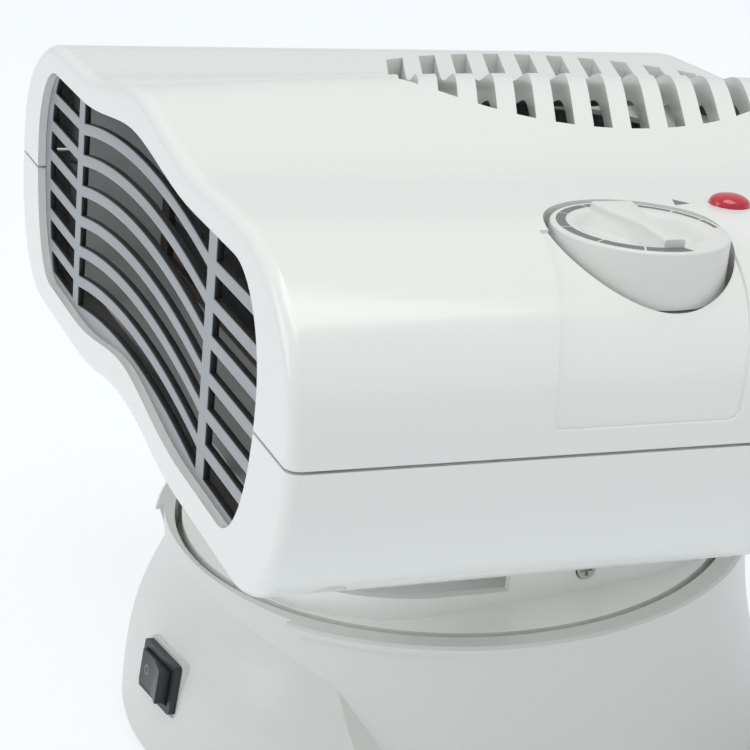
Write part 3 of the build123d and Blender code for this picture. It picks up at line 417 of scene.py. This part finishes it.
def grille_material(finish):
    """Black slats whose forward faces carry silver paint, told apart by their normals."""
    material, tree, shader = new_material("Grille")
    place = tree.nodes.new("ShaderNodeTexCoord")
    facing = tree.nodes.new("ShaderNodeVectorMath")
    facing.operation = "DOT_PRODUCT"
    facing.inputs[1].default_value = (0.0, -math.cos(PITCH), math.sin(PITCH))
    tree.links.new(place.outputs["Normal"], facing.inputs[0])
    least_facing, paint_metal = 0.9, 0.55
    painted = math_node(tree, "GREATER_THAN", facing.outputs["Value"], least_facing)
    mix = tree.nodes.new("ShaderNodeMix")
    mix.data_type = "RGBA"
    mix.inputs[6].default_value = rgba(finish.grille_body)
    mix.inputs[7].default_value = rgba(finish.grille_face)
    tree.links.new(painted, mix.inputs["Factor"])
    tree.links.new(mix.outputs[2], shader.inputs["Base Color"])
    add_grain(tree, shader, Size=0.3, Depth=0.3, Roughness=0.38, Spread=0.1)
    tree.links.new(math_node(tree, "MULTIPLY", painted, paint_metal), shader.inputs["Metallic"])
    return material


def lens_material(finish):
    """Red lamp lens; coarse grain stands for the facets below its surface."""
    material, tree, shader = new_material("Lamp Lens")
    tone = add_group(tree, "Moulding Tone", Colour=rgba(finish.lens),
                     Drift=rgba((0.95, 0.03, 0.08)), Scale=420.0, Amount=0.7)
    tree.links.new(tone.outputs["Colour"], shader.inputs["Base Color"])
    add_grain(tree, shader, Size=2.2, Depth=1.0, Roughness=0.1, Spread=0.02)
    shader.inputs["Transmission Weight"].default_value = 0.12
    shader.inputs["Coat Weight"].default_value = 0.6
    return material


def plain_stage_material(name, studio):
    """Matte studio surface, partly self-lit for the camera and, less, for reflections."""
    material, tree, shader = new_material(name)
    shader.inputs["Base Color"].default_value = rgba(studio.floor_colour)
    shader.inputs["Roughness"].default_value = 0.9
    shader.inputs["Specular IOR Level"].default_value = 0.1
    glow_node = tree.nodes.new("ShaderNodeEmission")
    glow_node.inputs["Color"].default_value = rgba(studio.floor_colour)
    glow_node.inputs["Strength"].default_value = GLOW_STRENGTH
    path = tree.nodes.new("ShaderNodeLightPath")
    seen = math_node(tree, "MULTIPLY", path.outputs["Is Camera Ray"], studio.glow)
    share = math_node(tree, "MULTIPLY_ADD", path.outputs["Is Glossy Ray"], studio.mirrored, seen)
    mix = tree.nodes.new("ShaderNodeMixShader")
    tree.links.new(share, mix.inputs[0])
    tree.links.new(shader.outputs[0], mix.inputs[1])
    tree.links.new(glow_node.outputs[0], mix.inputs[2])
    out = next(node for node in tree.nodes if node.type == "OUTPUT_MATERIAL")
    tree.links.new(mix.outputs[0], out.inputs["Surface"])
    return material


def dress(node, material):
    """Gives a CAD node one material."""
    mesh = frame["nodes"][node].data
    mesh.materials.clear()
    mesh.materials.append(material)


# Mesh helpers

def quads(rows, columns, wrap):
    """Faces of a grid of points, row by row; wrap closes each row on itself."""
    row = np.arange(rows - 1)[:, None]
    column = np.arange(columns if wrap else columns - 1)[None, :]
    after = (column + 1) % columns
    corners = [row * columns + column, row * columns + after,
               (row + 1) * columns + after, (row + 1) * columns + column]
    return np.stack(corners, axis=-1).reshape(-1, 4)


def surface(name, patches, wrap=False):
    """New object from grids of world points, one patch after another."""
    points, faces, first = [], [], 0
    for patch in patches:
        rows, columns = patch.shape[:2]
        points.append(patch.reshape(-1, 3))
        faces.append(quads(rows, columns, wrap) + first)
        first += rows * columns
    mesh = bpy.data.meshes.new(name)
    mesh.from_pydata(np.concatenate(points).tolist(), [], np.concatenate(faces).tolist())
    return linked(name, mesh)


def linked(name, mesh):
    """Puts a mesh in the scene as an object at the origin."""
    piece = bpy.data.objects.new(name, mesh)
    bpy.context.scene.collection.objects.link(piece)
    return piece


def clean(mesh, sharp=35.0, outward=True):
    """Welds doubled points, turns the faces outwards and shades smooth up to an angle."""
    work = bmesh.new()
    work.from_mesh(mesh)
    bmesh.ops.remove_doubles(work, verts=work.verts, dist=1e-6)
    bmesh.ops.dissolve_degenerate(work, edges=work.edges, dist=1e-7)
    if outward:
        bmesh.ops.recalc_face_normals(work, faces=work.faces)
    work.to_mesh(mesh)
    work.free()
    mesh.shade_smooth()
    mesh.set_sharp_from_angle(angle=math.radians(sharp))


def settle(piece, body, material, replaced=()):
    """Gives a new piece its material and its body, and hides the nodes that it stands for."""
    piece.data.materials.append(material)
    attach(piece, body)
    if replaced:
        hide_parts(*replaced)


def basis(place, along, rise):
    """Matrix that sets a drawing in mm at a world place, its x along and its y up the rise."""
    out = Vector(along).cross(Vector(rise))
    turn = Matrix((Vector(along), Vector(rise), out)).transposed().to_4x4()
    return Matrix.Translation(Vector(place)) @ turn @ Matrix.Scale(MM, 4)


def lathe(axis_point, profile, count=96):
    """Profile (r, z) turned about an upright of the housing: (cx + r cos a, cy + r sin a, z)."""
    angle = np.linspace(0, 2 * np.pi, count, endpoint=False)
    reach, height = profile[:, :1], profile[:, 1:]
    points = np.stack([axis_point[0] + reach * np.cos(angle),
                       axis_point[1] + reach * np.sin(angle), height + 0 * angle], axis=-1)
    return heater_points(points)


def plate_mesh(name, outlines, depth, edge, frame_matrix):
    """Flat plate with holes and rounded edges, from closed outlines in its own plane."""
    curve = bpy.data.curves.new(name, "CURVE")
    curve.dimensions = "2D"
    curve.fill_mode = "BOTH"
    curve.extrude = depth / 2 - edge
    curve.bevel_depth = edge
    curve.bevel_resolution = 2
    curve.offset = -edge
    for outline in outlines:
        spline = curve.splines.new("POLY")
        spline.points.add(len(outline) - 1)
        flat = np.zeros((len(outline), 4))
        flat[:, :2] = outline
        flat[:, 3] = 1.0
        spline.points.foreach_set("co", flat.ravel())
        spline.use_cyclic_u = True
    holder = bpy.data.objects.new(name, curve)
    bpy.context.scene.collection.objects.link(holder)
    view = bpy.context.evaluated_depsgraph_get()
    mesh = bpy.data.meshes.new_from_object(holder.evaluated_get(view))
    bpy.data.objects.remove(holder)
    bpy.data.curves.remove(curve)
    mesh.transform(frame_matrix)
    mesh.name = name
    clean(mesh)
    return mesh


# Operators

class FINISH_OT_mouldings(bpy.types.Operator):
    """Gives every carried-over CAD node its procedural material"""

    bl_idname = "heater.finish_mouldings"
    bl_label = "Finish Mouldings"

    def execute(self, context):
        finish = context.scene.heater_finish
        build_grain_group()
        build_tint_group()
        grain = finish.grain_size
        housing = moulding("Housing White", finish.housing, scaled(finish.housing, 0.95),
                           size=grain, depth=0.04, roughness=0.22, coat=0.3)
        # Base and neck: the base is darkened as painted shade on its cone, the neck lightened as
        # painted light under the housing.
        base = moulding("Base White Painted Shade", finish.base, scaled(finish.base, 0.94),
                        size=grain, depth=0.06, roughness=0.28, coat=0.15)
        neck = moulding("Neck White Painted Light", finish.neck, scaled(finish.neck, 0.97),
                        size=grain, depth=0.06, roughness=0.28, coat=0.15)
        knob = moulding("Knob White", finish.knob, scaled(finish.knob, 0.95), depth=0.06)
        duct = moulding("Duct Grey", (0.85, 0.855, 0.84), (0.76, 0.77, 0.75), roughness=0.4)
        brown = moulding("Frame Brown", (0.06, 0.045, 0.035), (0.035, 0.03, 0.025),
                         roughness=0.5)
        ceramic = moulding("Coated Ceramic", (0.16, 0.13, 0.11), (0.10, 0.08, 0.07),
                           roughness=0.55)
        black = moulding("Switch Black", (0.028, 0.030, 0.037), (0.04, 0.042, 0.05),
                         roughness=0.35)
        rubber = moulding("Rubber", (0.035, 0.035, 0.037), (0.05, 0.05, 0.05), depth=0.5,
                          roughness=0.75)
        glide = moulding("Glide Plastic", (0.74, 0.72, 0.66), (0.66, 0.64, 0.58), roughness=0.4)
        moulding("Printed Ink", finish.print_grey, (0.13, 0.135, 0.14), roughness=0.4)
        moulding("Printed White", (0.30, 0.31, 0.34), (0.24, 0.25, 0.28), roughness=0.4)
        steel = metal("Plated Steel", (0.62, 0.61, 0.58), roughness=0.28)
        fins = metal("Fin Aluminium", (0.68, 0.69, 0.70), roughness=0.35)
        motor = metal("Motor Can", (0.30, 0.31, 0.33), roughness=0.4)
        groups = {
            housing: ["upper_housing", "lower_housing"],
            base: ["base_shell", "base_plate"],
            neck: ["turntable"],
            knob: ["thermostat_knob", "mode_knob"],
            duct: ["air_duct", "blower_scroll", "scroll_cover"],
            brown: ["element_frame"],
            ceramic: ["ptc_bars"],
            black: ["impeller", "thermostat", "mode_switch", "lamp_holder", "rocker_bezel",
                    "rocker", "cord_gland"],
            rubber: ["rubber_feet"],
            glide: ["bearing_ring", "swing_crank"],
            steel: ["thermal_cutout", "motor_shaft", "thermostat_shaft", "mode_shaft",
                    "housing_screws", "neck_screws", "retaining_washer", "base_screws",
                    "swing_motor_screws"],
            fins: ["fin_strips"],
            motor: ["fan_motor", "swing_motor"],
            grille_material(finish): ["front_grille"],
            lens_material(finish): ["pilot_lamp_lens"],
        }
        for material, names in groups.items():
            for name in names:
                dress(name, material)
        return {"FINISHED"}


class BUILD_OT_grille(bpy.types.Operator):
    """Builds the thin painted grille in place of the plain one"""

    bl_idname = "heater.build_grille"
    bl_label = "Build Grille"

    def execute(self, context):
        shape = context.scene.heater_grille
        low, high = heater_box("front_grille")
        middle = low[1] + shape.depth / 2 + shape.inset
        place = basis(heater_points(np.array([0.0, middle, 0.0])), (1, 0, 0), FAN_AXIS)
        outlines = [self.rim(shape, high)] + self.middle_field(shape)
        outlines += [side * outline for outline in self.side_field(shape)
                     for side in (np.array([1, 1]), np.array([-1, 1]))]
        mesh = plate_mesh("grille", outlines, shape.depth, shape.edge, place)
        settle(linked("grille", mesh), "head", bpy.data.materials["Grille"],
               ["front_grille"])
        return {"FINISHED"}

    def rim(self, shape, high):
        """Outer edge, hidden behind the lip of the mouth.

        The ends are quarters of ellipses, x = c + r cos t and z = z0 + h sin t. Between
        them z = z1 + h (3 s^2 - 2 s^3) with s = 1 - |x| / a along the top and the bottom.
        """
        centre_x, centre_z = shape.field[0], shape.field[1]
        reach = high[0] - centre_x - shape.rim_inset
        bottom, top = shape.rim
        turn = np.linspace(0, np.pi / 2, 17)
        over = np.linspace(shape.rim_arch, -shape.rim_arch, 49)
        swell = 1 - np.abs(over) / shape.rim_arch
        swell = 3 * swell**2 - 2 * swell**3
        ends = centre_x + reach * np.cos(turn)
        right_up = np.stack([ends, centre_z + (top - centre_z) * np.sin(turn)], axis=-1)
        right_down = np.stack([ends, centre_z - (centre_z - bottom) * np.sin(turn)], axis=-1)[::-1]
        mirror = np.array([-1, 1])
        crown = np.stack([over, top + shape.rim_rise[1] * swell], axis=-1)
        floor = np.stack([over, bottom + shape.rim_rise[0] * swell], axis=-1)[::-1]
        return np.concatenate([right_down[:-1], right_up, crown, (right_up * mirror)[::-1][:-1],
                               (right_down * mirror)[::-1], floor])

    def middle_field(self, shape):
        """Arched openings between the bars: circular arcs, z = z0 - R + sqrt(R^2 - x^2)."""
        half = shape.bar - shape.bar_width / 2
        radius = (half**2 + shape.arch**2) / (2 * shape.arch)
        x = np.linspace(-half, half, 41)
        arc = np.sqrt(radius**2 - x**2) - radius + shape.arch
        tops = [shape.top - row * shape.pitch for row in range(shape.rows)]
        return [np.concatenate([np.stack([x, top - shape.height + arc], axis=-1),
                                np.stack([x, top + arc], axis=-1)[::-1]]) for top in tops]

    def side_field(self, shape):
        """Straight openings outside a bar, ending on x = c + r sqrt(1 - ((z - z0) / h)^2)."""
        start = shape.bar + shape.bar_width / 2
        centre_x, centre_z, half = shape.field
        least = 0.05
        outlines = []
        for row in range(shape.rows):
            top = shape.top - row * shape.pitch
            z = np.linspace(top - shape.height, top, 9)
            rise = np.where(z > centre_z, shape.reach[0], shape.reach[1])
            x = centre_x + half * np.sqrt(np.clip(1 - ((z - centre_z) / rise) ** 2, least, 1))
            inner = np.array([[start, top], [start, top - shape.height]])
            outlines.append(np.concatenate([inner, np.stack([x, z], axis=-1)]))
        return outlines


class BUILD_OT_fins(bpy.types.Operator):
    """Builds the corrugated strips between the heater bars"""

    bl_idname = "heater.build_fins"
    bl_label = "Build Fins"

    def execute(self, context):
        fins = context.scene.heater_fins
        low, high = heater_box("fin_strips")
        bars_low, bars_high = heater_box("ptc_bars")
        strips = fins.strips
        bar = ((bars_high[2] - bars_low[2]) - (high[2] - low[2])) / 2
        strip = ((high[2] - low[2]) - (strips - 1) * bar) / strips
        patches = [self.strip(low, high, low[2] + row * (strip + bar), strip, fins.pitch)
                   for row in range(strips)]
        piece = surface("heater_fins", patches)
        settle(piece, "head", bpy.data.materials["Fin Aluminium"], ["fin_strips"])
        return {"FINISHED"}

    def strip(self, low, high, foot, rise, pitch):
        """Folded strip: x = p k, z alternates between foot and foot + rise, swept along y."""
        count = round((high[0] - low[0]) / pitch)
        fold = np.arange(count + 1)
        x = low[0] + (high[0] - low[0]) * fold / count
        z = foot + rise * (fold % 2)
        rows = [np.stack([x, np.full_like(x, y), z], axis=-1) for y in (low[1], high[1])]
        return heater_points(np.stack(rows))


class BUILD_OT_dials(bpy.types.Operator):
    """Builds the two dials, each with a sunk middle and a waisted grip"""

    bl_idname = "heater.build_dials"
    bl_label = "Build Dials"

    def execute(self, context):
        dial = context.scene.heater_dial
        knob = bpy.data.materials["Knob White"]
        for node, body, turn in (("thermostat_knob", "thermostat_control", 0.0),
                                 ("mode_knob", "mode_control", -90.0)):
            low, high = heater_box(node)
            centre = (low + high) / 2
            radius = (high[0] - low[0]) / 2
            profile = self.profile(dial, radius, low[2], high[2])
            bowl = surface(node + "_body", [lathe(centre, profile)], wrap=True)
            clean(bowl.data, 40.0)
            settle(bowl, body, knob, [node])
            grip = surface(node + "_grip", [self.grip(dial, centre, high[2], turn)], wrap=True)
            clean(grip.data, 50.0)
            settle(grip, body, knob)
        return {"FINISHED"}

    def profile(self, dial, radius, foot, face):
        """Upright wall, quarter-round edge, flat brim and bowl, z = f - d (1 - cos(pi s)) / 2."""
        turn = np.linspace(0, np.pi / 2, 6)
        bevel = 0.3
        wall = np.stack([radius - dial.edge + dial.edge * np.cos(turn),
                         face - dial.edge + dial.edge * np.sin(turn)], axis=-1)
        share = np.linspace(0, 1, 13)
        bowl = np.stack([dial.dish_radius - dial.slope * share,
                         face - dial.dish * (1 - np.cos(np.pi * share)) / 2], axis=-1)
        under = np.array([[0.0, foot], [radius - bevel, foot], [radius, foot + bevel]])
        return np.concatenate([under, wall, bowl, [[0.0, face - dial.dish]]])

    def grip(self, dial, centre, face, turn):
        """Ridge whose half width is w + f (1 - t)^2.4 at the height share t.

        w grows as 3 s^2 - 2 s^3 from the waist to the broad end and as n^2 to the narrow
        end, and f as s^1.5. The crest turns over in a quarter round. Both ends are drawn
        to a point of the foot, and the foot closes each section.
        """
        waist, broad, narrow = dial.halves
        along = np.linspace(dial.grip_far, dial.grip_near, 41)
        s = np.clip((dial.waist - along) / (dial.waist - dial.grip_far), 0, 1)
        n = np.clip((along - dial.waist) / (dial.grip_near - dial.waist), 0, 1)
        half = waist + (broad - waist) * (3 * s**2 - 2 * s**3) + (narrow - waist) * n**2
        flare = dial.flare[0] + (dial.flare[1] - dial.flare[0]) * s**1.5
        crest = face + dial.grip - dial.edge
        sunk = 0.3
        foot = face - dial.dish - sunk
        share = np.linspace(0, 1, 13)
        rounding = np.linspace(0, np.pi / 2, 5)[1:]
        across = np.concatenate([half[:, None] + flare[:, None] * (1 - share) ** 2.4,
                                 half[:, None] - dial.edge + dial.edge * np.cos(rounding)], axis=1)
        rise = np.concatenate([foot + (crest - foot) * share,
                               crest + dial.edge * np.sin(rounding)])
        across = np.concatenate([across, -across[:, ::-1]], axis=1)
        rise = np.concatenate([rise, rise[::-1]])
        across = np.pad(across, ((1, 1), (0, 0)))
        u = np.pad(along, 1, mode="edge")[:, None] + 0 * across
        z = rise + 0 * across
        z[[0, -1]] = foot
        angle = math.radians(turn)
        x = centre[0] + u * math.cos(angle) - across * math.sin(angle)
        y = centre[1] + u * math.sin(angle) + across * math.cos(angle)
        return heater_points(np.stack([x, y, z], axis=-1))


class BUILD_OT_dial_print(bpy.types.Operator):
    """Prints the dial's scale and the pointer beside it"""

    # Bearings of the spaces between the scale's blocks, corners of the pointer, and the
    # height of the housing's top above the dial's face
    gaps = (104, 129, 155, 180, 198, 228, 265, 303, 336)
    pointer = ((86.9, 16.3), (83.0, 13.3), (88.0, 11.4))
    step = 0.2

    bl_idname = "heater.build_dial_print"
    bl_label = "Build Dial Print"

    def execute(self, context):
        dial = context.scene.heater_dial
        low, high = heater_box("thermostat_knob")
        centre = (low + high) / 2
        face = high[2] + dial.ink
        outer = (high[0] - low[0]) / 2 - dial.brim
        blocks = [self.block(dial, centre, face, outer, start, end)
                  for start, end in zip((dial.start,) + self.gaps, self.gaps + (dial.end,))]
        scale = surface("dial_scale", blocks)
        ink = bpy.data.materials["Printed Ink"]
        settle(scale, "thermostat_control", ink)
        first, second, tip = self.pointer
        corners = np.array([[first, second], [tip, tip]])
        level = np.full((2, 2, 1), high[2] + self.step + dial.ink)
        corners = heater_points(np.concatenate([corners, level], axis=-1))
        pointer = surface("dial_pointer", [corners])
        clean(pointer.data, outward=False)
        settle(pointer, "head", ink)
        return {"FINISHED"}

    def block(self, dial, centre, face, outer, start, end):
        """Block of the scale: r from R - w(a) to R, w growing evenly with the angle a."""
        pad = math.degrees(dial.gap / 2 / outer)
        first = start if start == dial.start else start + pad
        last = end if end == dial.end else end - pad
        share = np.linspace(0, 1, 17)
        slant = dial.slant if end == dial.end else 0.0
        outer_turn = first + (last + slant - first) * share
        inner_turn = first + (last - first) * share
        growth = (inner_turn - dial.start) / (dial.end - dial.start)
        width = dial.thin + (dial.thick - dial.thin) * growth
        angle = np.radians(np.stack([outer_turn, inner_turn]))
        reach = np.stack([np.full_like(share, outer), outer - width])
        return heater_points(np.stack([centre[0] + reach * np.cos(angle),
                                       centre[1] + reach * np.sin(angle),
                                       np.full_like(angle, face)], axis=-1))


class BUILD_OT_lamp(bpy.types.Operator):
    """Builds the lens of the pilot lamp, a half ellipse (r sin t, z0 + h cos t) turned round"""

    bl_idname = "heater.build_lamp"
    bl_label = "Build Lamp"

    def execute(self, context):
        lamp = context.scene.heater_lamp
        low, high = heater_box("pilot_lamp_lens")
        centre = (low + high) / 2
        flange = (high[0] - low[0]) / 2
        radius = flange - lamp.flange
        over, under = high[2] - lamp.shelf[0], high[2] - lamp.shelf[1]
        share = np.linspace(0, np.pi / 2, 13)
        cap = np.stack([radius * np.sin(share), high[2] + lamp.lift + lamp.dome * np.cos(share)],
                       axis=-1)
        skirt = np.array([[radius, over], [flange, over], [flange, under], [radius, under],
                          [radius, low[2]], [0, low[2]]])
        profile = np.concatenate([cap, skirt])
        piece = surface("lamp_dome", [lathe(centre, profile, 48)], wrap=True)
        clean(piece.data)
        settle(piece, "head", bpy.data.materials["Lamp Lens"], ["pilot_lamp_lens"])
        return {"FINISHED"}


class BUILD_OT_rocker(bpy.types.Operator):
    """Builds the rocker with its shallow faces and the plain off and on marks"""

    bl_idname = "heater.build_rocker"
    bl_label = "Build Rocker"

    def execute(self, context):
        button = context.scene.heater_rocker
        joint = joint_named("rocker_tilt")
        place = Vector(joint["pos_m"])
        axis = Vector(joint["axis"]).normalized()
        across = axis.cross(Vector((0, 0, 1))).normalized()
        out = across.cross(axis)
        lean = math.radians(joint["range_deg"][1] / 2)
        along = across * math.cos(lean) + out * math.sin(lean)
        rise = out * math.cos(lean) - across * math.sin(lean)
        half, dip, tip = button.half, button.dip, button.tip
        foot, draft = -1.0, 0.3
        outline = np.array([(-half, tip), (0, dip), (half, tip), (half - draft, foot),
                            (0, -button.keel), (draft - half, foot)])
        mesh = plate_mesh("rocker_button", [outline], button.width, button.edge,
                          basis(place, along, rise))
        settle(linked("rocker_button", mesh), "switch_rocker",
               bpy.data.materials["Switch Black"], ["rocker"])
        turn = np.linspace(0, 2 * np.pi, 33)
        stretch = 1.15
        ring = np.stack([np.stack([r * np.cos(turn), stretch * r * np.sin(turn)], axis=-1)
                         for r in button.ring])
        wide, tall = button.stroke
        stroke = np.array([[[-wide, -tall], [wide, -tall]], [[-wide, tall], [wide, tall]]])
        vectors = (np.array(place), np.array(along), np.array(rise), np.array(axis))
        marks = surface("rocker_marks", [self.on_face(button, vectors, -1, ring),
                                         self.on_face(button, vectors, 1, stroke)])
        settle(marks, "switch_rocker", bpy.data.materials["Printed White"])
        return {"FINISHED"}

    def on_face(self, button, vectors, side, flat):
        """Flat figure laid on one of the rocker's two sloping faces."""
        place, along, rise, axis = vectors
        slope = np.array([side * button.half, button.tip - button.dip])
        slope = slope / np.hypot(*slope)
        normal = np.array([-side * slope[1], side * slope[0]])
        middle = np.array([side * button.half / 2, (button.dip + button.tip) / 2])
        local = middle + button.ink * normal + flat[..., :1] * slope
        return place + MM * (local[..., :1] * along + local[..., 1:] * rise + flat[..., 1:] * axis)


class STUDIO_OT_stage(bpy.types.Operator):
    """Builds the floor, the lights and the camera"""

    bl_idname = "heater.studio_stage"
    bl_label = "Studio Stage"

    def execute(self, context):
        studio = context.scene.heater_studio
        self.floor(studio)
        self.world(context.scene, studio)
        self.lights(studio)
        self.camera(context.scene, studio)
        context.scene.view_settings.view_transform = "Standard"
        return {"FINISHED"}

    def floor(self, studio):
        """Flat square floor, centred below the heater."""
        reach = 4.0
        corners = [(-reach, -reach, 0.0), (reach, -reach, 0.0), (reach, reach, 0.0),
                   (-reach, reach, 0.0)]
        mesh = bpy.data.meshes.new("studio_floor")
        mesh.from_pydata(corners, [], [(0, 1, 2, 3)])
        floor = bpy.data.objects.new("studio_floor", mesh)
        bpy.context.scene.collection.objects.link(floor)
        mesh.materials.append(plain_stage_material("Studio Floor", studio))

    def world(self, scene, studio):
        """Even pale surround; brighter where the camera sees it, also through a lens."""
        world = bpy.data.worlds.new("Studio World")
        world.use_nodes = True
        scene.world = world
        tree = world.node_tree
        background = next(node for node in tree.nodes if node.type == "BACKGROUND")
        background.inputs["Color"].default_value = rgba(studio.floor_colour)
        path = tree.nodes.new("ShaderNodeLightPath")
        seen = math_node(tree, "MAXIMUM", path.outputs["Is Camera Ray"],
                         path.outputs["Is Transmission Ray"])
        strength = math_node(tree, "MULTIPLY_ADD", seen, 1.0 - studio.surround, studio.surround)
        tree.links.new(strength, background.inputs["Strength"])

    def lights(self, studio):
        """Soft boxes: one overhead, one beside the camera and one from the front."""
        target = Vector((0.0, 0.0, 0.1))
        boxes = (
            ("overhead_softbox", (0.2, 0.1, 1.5), 1.0, studio.overhead),
            ("side_softbox", (1.3, 0.5, 0.9), 0.8, studio.beside),
            ("front_softbox", (-0.2, -1.4, 0.8), 0.9, studio.ahead),
        )
        for name, place, size, power in boxes:
            lamp = bpy.data.lights.new(name, "AREA")
            lamp.shape = "SQUARE"
            lamp.size = size
            lamp.energy = power
            holder = bpy.data.objects.new(name, lamp)
            holder.location = place
            aim = target - Vector(place)
            holder.rotation_euler = aim.to_track_quat("-Z", "Y").to_euler()
            bpy.context.scene.collection.objects.link(holder)

    def camera(self, scene, studio):
        """Camera set by its bearing, its elevation and its place above the turntable."""
        azimuth = math.radians(studio.azimuth)
        elevation = math.radians(studio.elevation)
        right = Vector((math.cos(azimuth), math.sin(azimuth), 0.0))
        back = Vector((math.sin(azimuth) * math.cos(elevation),
                       -math.cos(azimuth) * math.cos(elevation), math.sin(elevation)))
        up = back.cross(right)
        lens = bpy.data.cameras.new("studio_camera")
        lens.lens = studio.lens
        lens.sensor_width = 36.0
        camera = bpy.data.objects.new("studio_camera", lens)
        turn = Matrix((right, up, back)).transposed().to_4x4()
        place = Vector(studio.camera_place) + Vector((0.0, 0.0, RING_HEIGHT * MM))
        camera.matrix_world = Matrix.Translation(place) @ turn
        scene.collection.objects.link(camera)
        scene.camera = camera


class HEATER_PT_panel(bpy.types.Panel):
    """Lists the heater's finish and studio operators"""

    bl_label = "Fan Heater"
    bl_idname = "HEATER_PT_panel"
    bl_space_type = "VIEW_3D"
    bl_region_type = "UI"
    bl_category = "Fan Heater"

    def draw(self, context):
        for operator in OPERATORS:
            self.layout.operator(operator.bl_idname)


OPERATORS = (FINISH_OT_mouldings, BUILD_OT_grille, BUILD_OT_fins, BUILD_OT_dials,
             BUILD_OT_dial_print, BUILD_OT_lamp, BUILD_OT_rocker, STUDIO_OT_stage)
SETTINGS = {"heater_finish": HeaterFinish, "heater_grille": GrilleSettings,
            "heater_fins": FinSettings, "heater_dial": DialSettings, "heater_lamp": LampSettings,
            "heater_rocker": RockerSettings, "heater_studio": StudioSettings}
CLASSES = tuple(SETTINGS.values()) + OPERATORS + (HEATER_PT_panel,)


def register():
    for cls in CLASSES:
        bpy.utils.register_class(cls)
    for name, group in SETTINGS.items():
        setattr(bpy.types.Scene, name, bpy.props.PointerProperty(type=group))


def unregister():
    for name in SETTINGS:
        delattr(bpy.types.Scene, name)
    for cls in reversed(CLASSES):
        bpy.utils.unregister_class(cls)


def main():
    """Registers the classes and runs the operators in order."""
    register()
    bpy.ops.heater.finish_mouldings()
    bpy.ops.heater.build_grille()
    bpy.ops.heater.build_fins()
    bpy.ops.heater.build_dials()
    bpy.ops.heater.build_dial_print()
    bpy.ops.heater.build_lamp()
    bpy.ops.heater.build_rocker()
    bpy.ops.heater.studio_stage()


if __name__ == "__main__":
    main()
